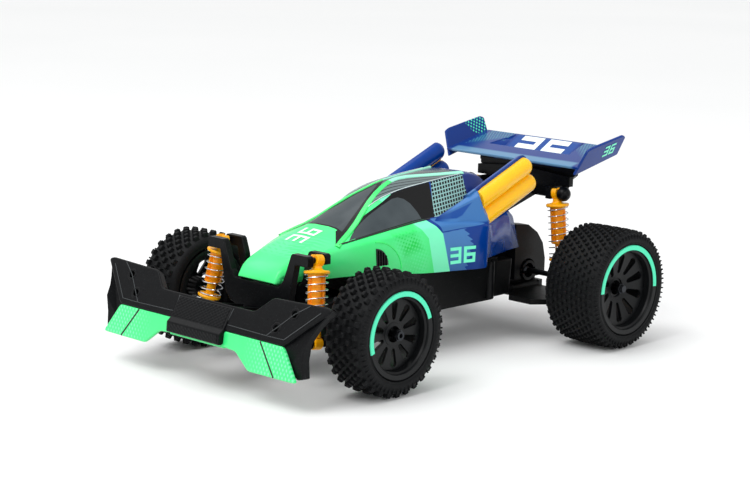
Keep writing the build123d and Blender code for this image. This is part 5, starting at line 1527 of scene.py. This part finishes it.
# ---------------------------------------------------------------- shock absorbers
SHOCKS = {
    "front": dict(top=Vector((90.6, 37.0, 66.5)), bottom=Vector((97.0, 43.6, 24.5)), seat=6.5, tube_end=24.0,
                  perch=31.0, coils=7),
    "rear": dict(top=Vector((-112.0, 31.8, 81.1)), bottom=Vector((-112.0, 37.1, 30.0)), seat=7.4, tube_end=30.0,
                 perch=38.5, coils=9),
}
EYE_R, EYE_BORE = 3.3, 1.9
TUBE_R, GROOVES, GROOVE_DEPTH, GROOVE_WIDTH = 4.6, 4, 1.3, 1.7
# The spring's first and last CLOSED_SHARE of turns lie close together.
COIL_R, WIRE_R, COIL_STEPS, CLOSED_SHARE, COIL_START = 6.0, 0.34, 28, 0.06, 0.8


def shock_matrix(end, side):
    """Origin at the top pin, Z down the shock, X close to the car's forward direction."""
    top, bottom = SHOCKS[end]["top"].copy(), SHOCKS[end]["bottom"].copy()
    top.y *= side
    bottom.y *= side
    return frame_at(top, (1, 0, 0), bottom - top)


def lathe(matrix, profile):
    """Solid of revolution about the matrix's Z axis, from (radius, z)."""
    steps = 32
    rows = []
    for k in range(steps):
        a = 2 * pi * k / steps
        rows.append([matrix @ Vector((r * cos(a), r * sin(a), z)) for r, z in profile])
    rows.append(rows[0])
    return grid(rows, closed=True)


def grooved_tube(matrix, start, end):
    """Tube with lengthwise grooves that stop short of both ends."""
    steps = 48
    rows = []
    for z, grooved, inset in ((start, False, 0.0), (start + 1.6, False, 0.0), (start + 1.7, True, 0.0),
                              (end - 1.7, True, 0.0), (end - 1.6, False, 0.0), (end - 0.4, False, 0.0),
                              (end, False, 0.4)):
        row = []
        for k in range(steps):
            a = 2 * pi * k / steps
            from_groove = abs((k * GROOVES / steps + 0.5) % 1.0 - 0.5) * 2 * pi / GROOVES * TUBE_R
            r = TUBE_R - inset - (GROOVE_DEPTH if grooved and from_groove < GROOVE_WIDTH / 2 else 0.0)
            row.append(matrix @ Vector((r * cos(a), r * sin(a), z)))
        rows.append(row)
    return grid(rows, closed=True, caps=True)


def hook(matrix, pin_r, wall, half_width, opening, start_angle):
    """Clip round the matrix's X axis, open over an angle that ends where the clip starts."""
    steps = 20
    loop = []
    for k in range(steps + 1):
        a = start_angle + (2 * pi - opening) * k / steps
        loop.append((cos(a), sin(a)))
    rows = []
    for x in (-half_width, half_width):
        outer = [matrix @ Vector((x, (pin_r + wall) * c, (pin_r + wall) * s)) for c, s in loop]
        inner = [matrix @ Vector((x, pin_r * c, pin_r * s)) for c, s in reversed(loop)]
        rows.append(outer + inner)
    return grid(rows, closed=True, caps=True)


def shock_body(end, name, side):
    """Upper half of a shock: clip, neck and spring seat in one yellow piece, and the orange tube."""
    g = SHOCKS[end]
    matrix = shock_matrix(end, side)
    body = f"{end}_shock_{name}"
    seat = g["seat"]
    if end == "front":
        clip = hook(matrix, 1.62, 1.9, 2.4, 0.9, -pi / 2 + 0.45)
    else:
        clip = hook(matrix @ Matrix.Rotation(-pi / 2, 4, "Z"), 2.1, 1.8, 1.7, 1.3, -pi / 2 + 0.65)
    neck = lathe(matrix, [(0.3, 2.4), (2.5, 2.6), (2.9, seat - 2.2), (4.4, seat - 1.2), (4.6, seat), (0.3, seat)])
    cup = lathe(matrix, [(0.3, seat - 1.4), (6.2, seat - 1.3), (6.85, seat - 0.9), (6.9, seat + 0.1),
                         (6.5, seat + 0.55), (4.9, seat + 0.6), (4.8, seat + 1.2), (0.3, seat + 1.2)])
    piece = build(f"{end}_shock_head_{name}", *join(clip, neck, cup), shock_yellow, body, "shock_orange",
                  [f"{end}_shock_cylinder_{name}"])
    soften(piece, 0.25, 2, 45)
    tube = grooved_tube(matrix, seat + 1.0, g["tube_end"])
    build(f"{end}_shock_tube_{name}", *tube, shock_orange, body, "shock_orange", sharp=30)


def shock_rod(end, name, side):
    """Lower half of a shock: rod, spring perch and the eye on the arm's pin."""
    g = SHOCKS[end]
    matrix = shock_matrix(end, side)
    length = (g["bottom"] - g["top"]).length
    perch = g["perch"]
    profile = [(0.3, g["tube_end"] - 10.0), (2.45, g["tube_end"] - 10.0), (2.45, perch - 0.6), (4.4, perch - 0.4),
               (6.0, perch), (6.4, perch + 0.5), (6.4, perch + 1.3), (5.6, perch + 1.8), (3.6, perch + 2.4),
               (2.9, perch + 4.0), (2.7, length - 3.0), (0.3, length - 3.0)]
    rod = lathe(matrix, profile)
    eye = hook(matrix @ Matrix.Translation((0, 0, length)), EYE_BORE, EYE_R - EYE_BORE, 2.7, 0.0, 0.0)
    piece = build(f"{end}_shock_rod_{name}", *join(rod, eye), shock_yellow, f"{end}_piston_{name}", "shock_orange",
                  [f"{end}_shock_piston_{name}"])
    soften(piece, 0.25, 2, 45)


PIN_HEAD = [(0.3, 2.4), (3.3, 2.4), (4.2, 3.6), (4.4, 5.2), (4.0, 6.8), (2.9, 8.1), (1.4, 8.8), (0.3, 8.9)]


def pin_head(name, side):
    """Domed head on the rear tower's upper shock pin."""
    top = SHOCKS["rear"]["top"]
    place = frame_at((top.x, side * top.y, top.z), (1, 0, 0), (0, side, 0))
    build(f"rear_pin_head_{name}", *lathe(place, PIN_HEAD), black_satin, "chassis", "black_plastic")


def coil_spring(end, name, side):
    """Round-wire spring with a closed coil at each end; it stretches between the seat and the perch."""
    g = SHOCKS[end]
    matrix = shock_matrix(end, side)
    start, stop = g["seat"] + 0.6 + WIRE_R, g["perch"] - 0.4 - WIRE_R
    path, ups = [], []
    for k in range(g["coils"] * COIL_STEPS + 1):
        turn = k / COIL_STEPS
        share = turn / g["coils"]
        eased = min(max((share - CLOSED_SHARE) / (1 - 2 * CLOSED_SHARE), 0.0), 1.0)
        z = start + (stop - start) * (CLOSED_SHARE * share + (1 - CLOSED_SHARE) * eased)
        a = 2 * pi * turn + COIL_START
        path.append(matrix @ Vector((COIL_R * cos(a), COIL_R * sin(a), z)))
        ups.append(matrix.to_3x3() @ Vector((cos(a), sin(a), 0)))
    spring = build(f"{end}_coil_spring_{name}", *sweep(path, circle(WIRE_R, 8), ups), spring_wire, None,
                   "spring_steel", [f"{end}_shock_spring_{name}"])
    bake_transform(spring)


def shocks():
    for end in SHOCKS:
        for name, side in SIDES.items():
            shock_body(end, name, side)
            shock_rod(end, name, side)
            coil_spring(end, name, side)
    for name, side in SIDES.items():
        pin_head(name, side)


# ---------------------------------------------------------------- chassis corners
POST_X, POST_INSET, POST_R = -61.5, 2.4, 2.9
TAIL_OUTLINE = [(-64.0, 25.4), (-81.5, 24.6), (-84.2, 22.0), (-84.2, 8.0), (-64.0, 8.0)]


def tub_corners():
    """Round post and short tapered tail at each rear corner of the tub."""
    low, high = node_box("chassis_tub")
    top = node_box("chassis_cover")[0].z
    for name, side in SIDES.items():
        rows = []
        for z, grow in ((low.z + 1.6, -0.6), (low.z + 2.2, 0.0), (top - 0.8, 0.0), (top - 0.2, -0.6)):
            rows.append([(POST_X + x, side * (high.y - POST_INSET) + y, z) for x, y in circle(POST_R + grow, 24)])
        build(f"tub_post_{name}", *grid(rows, closed=True, caps=True), black_satin, "chassis", "black_plastic")
        rows = []
        for z, narrow in ((low.z + 1.6, 1.6), (top - 1.6, 0.0)):
            rows.append([(x, side * (y - narrow), z) for x, y in TAIL_OUTLINE])
        tail = build(f"tub_tail_{name}", *grid(rows, closed=True, caps=True), black_plastic, "chassis",
                     "black_plastic")
        soften(tail, 1.0, 3, 30)


# ---------------------------------------------------------------- CAD nodes that keep their shape
# Material and edge rounding of each node, or of each left and right pair.
CAD_FINISH = {
    "chassis_tub": (black_plastic, 0.5), "chassis_cover": (black_plastic, 0.4), "wing_stay": (black_satin, 0.4),
    "front_shock_tower": (black_satin, 0.9), "rear_shock_tower": (black_satin, 0.6),
    "battery_door": (black_plastic, 0.2), "power_switch": (servo_plastic, 0.15),
    "gearbox_casing": (gearbox_plastic, 0.5), "motor": (steel, 0.3), "battery_pack": (battery_sleeve, 0.4),
    "circuit_board": (board_green, 0.1), "steering_servo": (servo_plastic, 0.3), "suspension_pins": (steel, 0.15),
    "screws": (steel, 0.15), "steering_lever": (acetal, 0.15), "steering_rack": (black_plastic, 0.15),
    "drive_gear": (black_satin, 0.0), "idler_gear": (acetal, 0.0), "motor_pinion": (brass, 0.0),
    "front_arm": (black_plastic, 0.35), "steering_knuckle": (black_plastic, 0.25), "front_axle": (black_steel, 0.15),
    "tie_rod": (black_plastic, 0.2), "rear_axle": (black_steel, 0.15), "rear_nut": (black_steel, 0.2),
    "rear_arm": (black_plastic, 0.4),
}


def finish_cad_nodes():
    """Materials and rounded edges for the nodes that no visual piece replaces."""
    for name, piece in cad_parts.items():
        if piece.hide_render:
            continue
        key = name if name in CAD_FINISH else name.rsplit("_", 1)[0]
        material, width = CAD_FINISH[key]
        piece.data.materials.clear()
        piece.data.materials.append(material)
        if width:
            weld = piece.modifiers.new("weld", "WELD")
            weld.merge_threshold = 0.002 * MM
            soften(piece, width, 2, 35)


# ---------------------------------------------------------------- stage, light and camera
def stage():
    """Plain, flat, pale floor."""
    f = Finish("studio_floor", 0.6)
    f.colour(f.mix(f.noise(0.002, 2.0), (0.86, 0.87, 0.87, 1), (0.90, 0.905, 0.905, 1)))
    mesh = bpy.data.meshes.new("studio_floor")
    half = 6.0
    mesh.from_pydata([(-half, -half, 0), (half, -half, 0), (half, half, 0), (-half, half, 0)], [], [(0, 1, 2, 3)])
    mesh.materials.append(f.material)
    floor = bpy.data.objects.new("studio_floor", mesh)
    bpy.context.scene.collection.objects.link(floor)


def area_light(name, location, target, size, power):
    """Soft rectangular light turned to its target."""
    data = bpy.data.lights.new(name, "AREA")
    data.shape = "RECTANGLE"
    data.size, data.size_y = size
    data.energy = power
    light = bpy.data.objects.new(name, data)
    bpy.context.scene.collection.objects.link(light)
    light.location = location
    light.rotation_mode = "QUATERNION"
    light.rotation_quaternion = (Vector(target) - Vector(location)).to_track_quat("-Z", "Y")


def lights():
    """Bright even surroundings with a very soft sun, a key light in front and a strip at the side."""
    world = bpy.data.worlds.new("studio")
    world.use_nodes = True
    background = world.node_tree.nodes["Background"]
    background.inputs["Color"].default_value = (1.0, 1.0, 1.0, 1.0)
    background.inputs["Strength"].default_value = 0.72
    bpy.context.scene.world = world
    sun = bpy.data.lights.new("sky_panel", "SUN")
    sun.energy = 1.2
    sun.angle = radians(70)
    panel = bpy.data.objects.new("sky_panel", sun)
    bpy.context.scene.collection.objects.link(panel)
    panel.rotation_euler = (radians(18), radians(14), 0)
    area_light("key", (0.9, 0.0, 1.2), (0, 0, 0.05), (0.7, 0.7), 9)
    area_light("side_strip", (0.3, 1.5, 0.8), (0, 0, 0.04), (1.0, 0.3), 5)


CAMERA_PLACE = Vector((0.7779, 0.7403, 0.2602))
CAMERA_AZIMUTH, CAMERA_ELEVATION, CAMERA_ROLL = 43.92, 10.80, 1.38
CAMERA_LENS = 92.9


def camera():
    """Camera in front of the car's left corner, aimed by its azimuth, elevation and roll."""
    azimuth, elevation, roll = (radians(v) for v in (CAMERA_AZIMUTH, CAMERA_ELEVATION, CAMERA_ROLL))
    forward = -Vector((cos(azimuth) * cos(elevation), sin(azimuth) * cos(elevation), sin(elevation)))
    level_right = forward.cross(Vector((0, 0, 1))).normalized()
    level_up = level_right.cross(forward)
    right = level_right * cos(roll) + level_up * sin(roll)
    up = level_up * cos(roll) - level_right * sin(roll)
    data = bpy.data.cameras.new("camera")
    data.sensor_width = 36.0
    data.lens = CAMERA_LENS
    data.clip_start = 0.01
    view = bpy.data.objects.new("camera", data)
    bpy.context.scene.collection.objects.link(view)
    matrix = Matrix((right, up, -forward)).transposed().to_4x4()
    matrix.translation = CAMERA_PLACE
    view.matrix_world = matrix
    bpy.context.scene.camera = view


camera()
stage()
lights()
body_shell()
rails()
edge_lines()
side_vents()
shell_numbers()
exhaust_pipes()
front_bumper()
bumper_skirt()
rear_wing()
wheels()
shocks()
tub_corners()
finish_cad_nodes()
bpy.context.scene.view_settings.view_transform = "Standard"
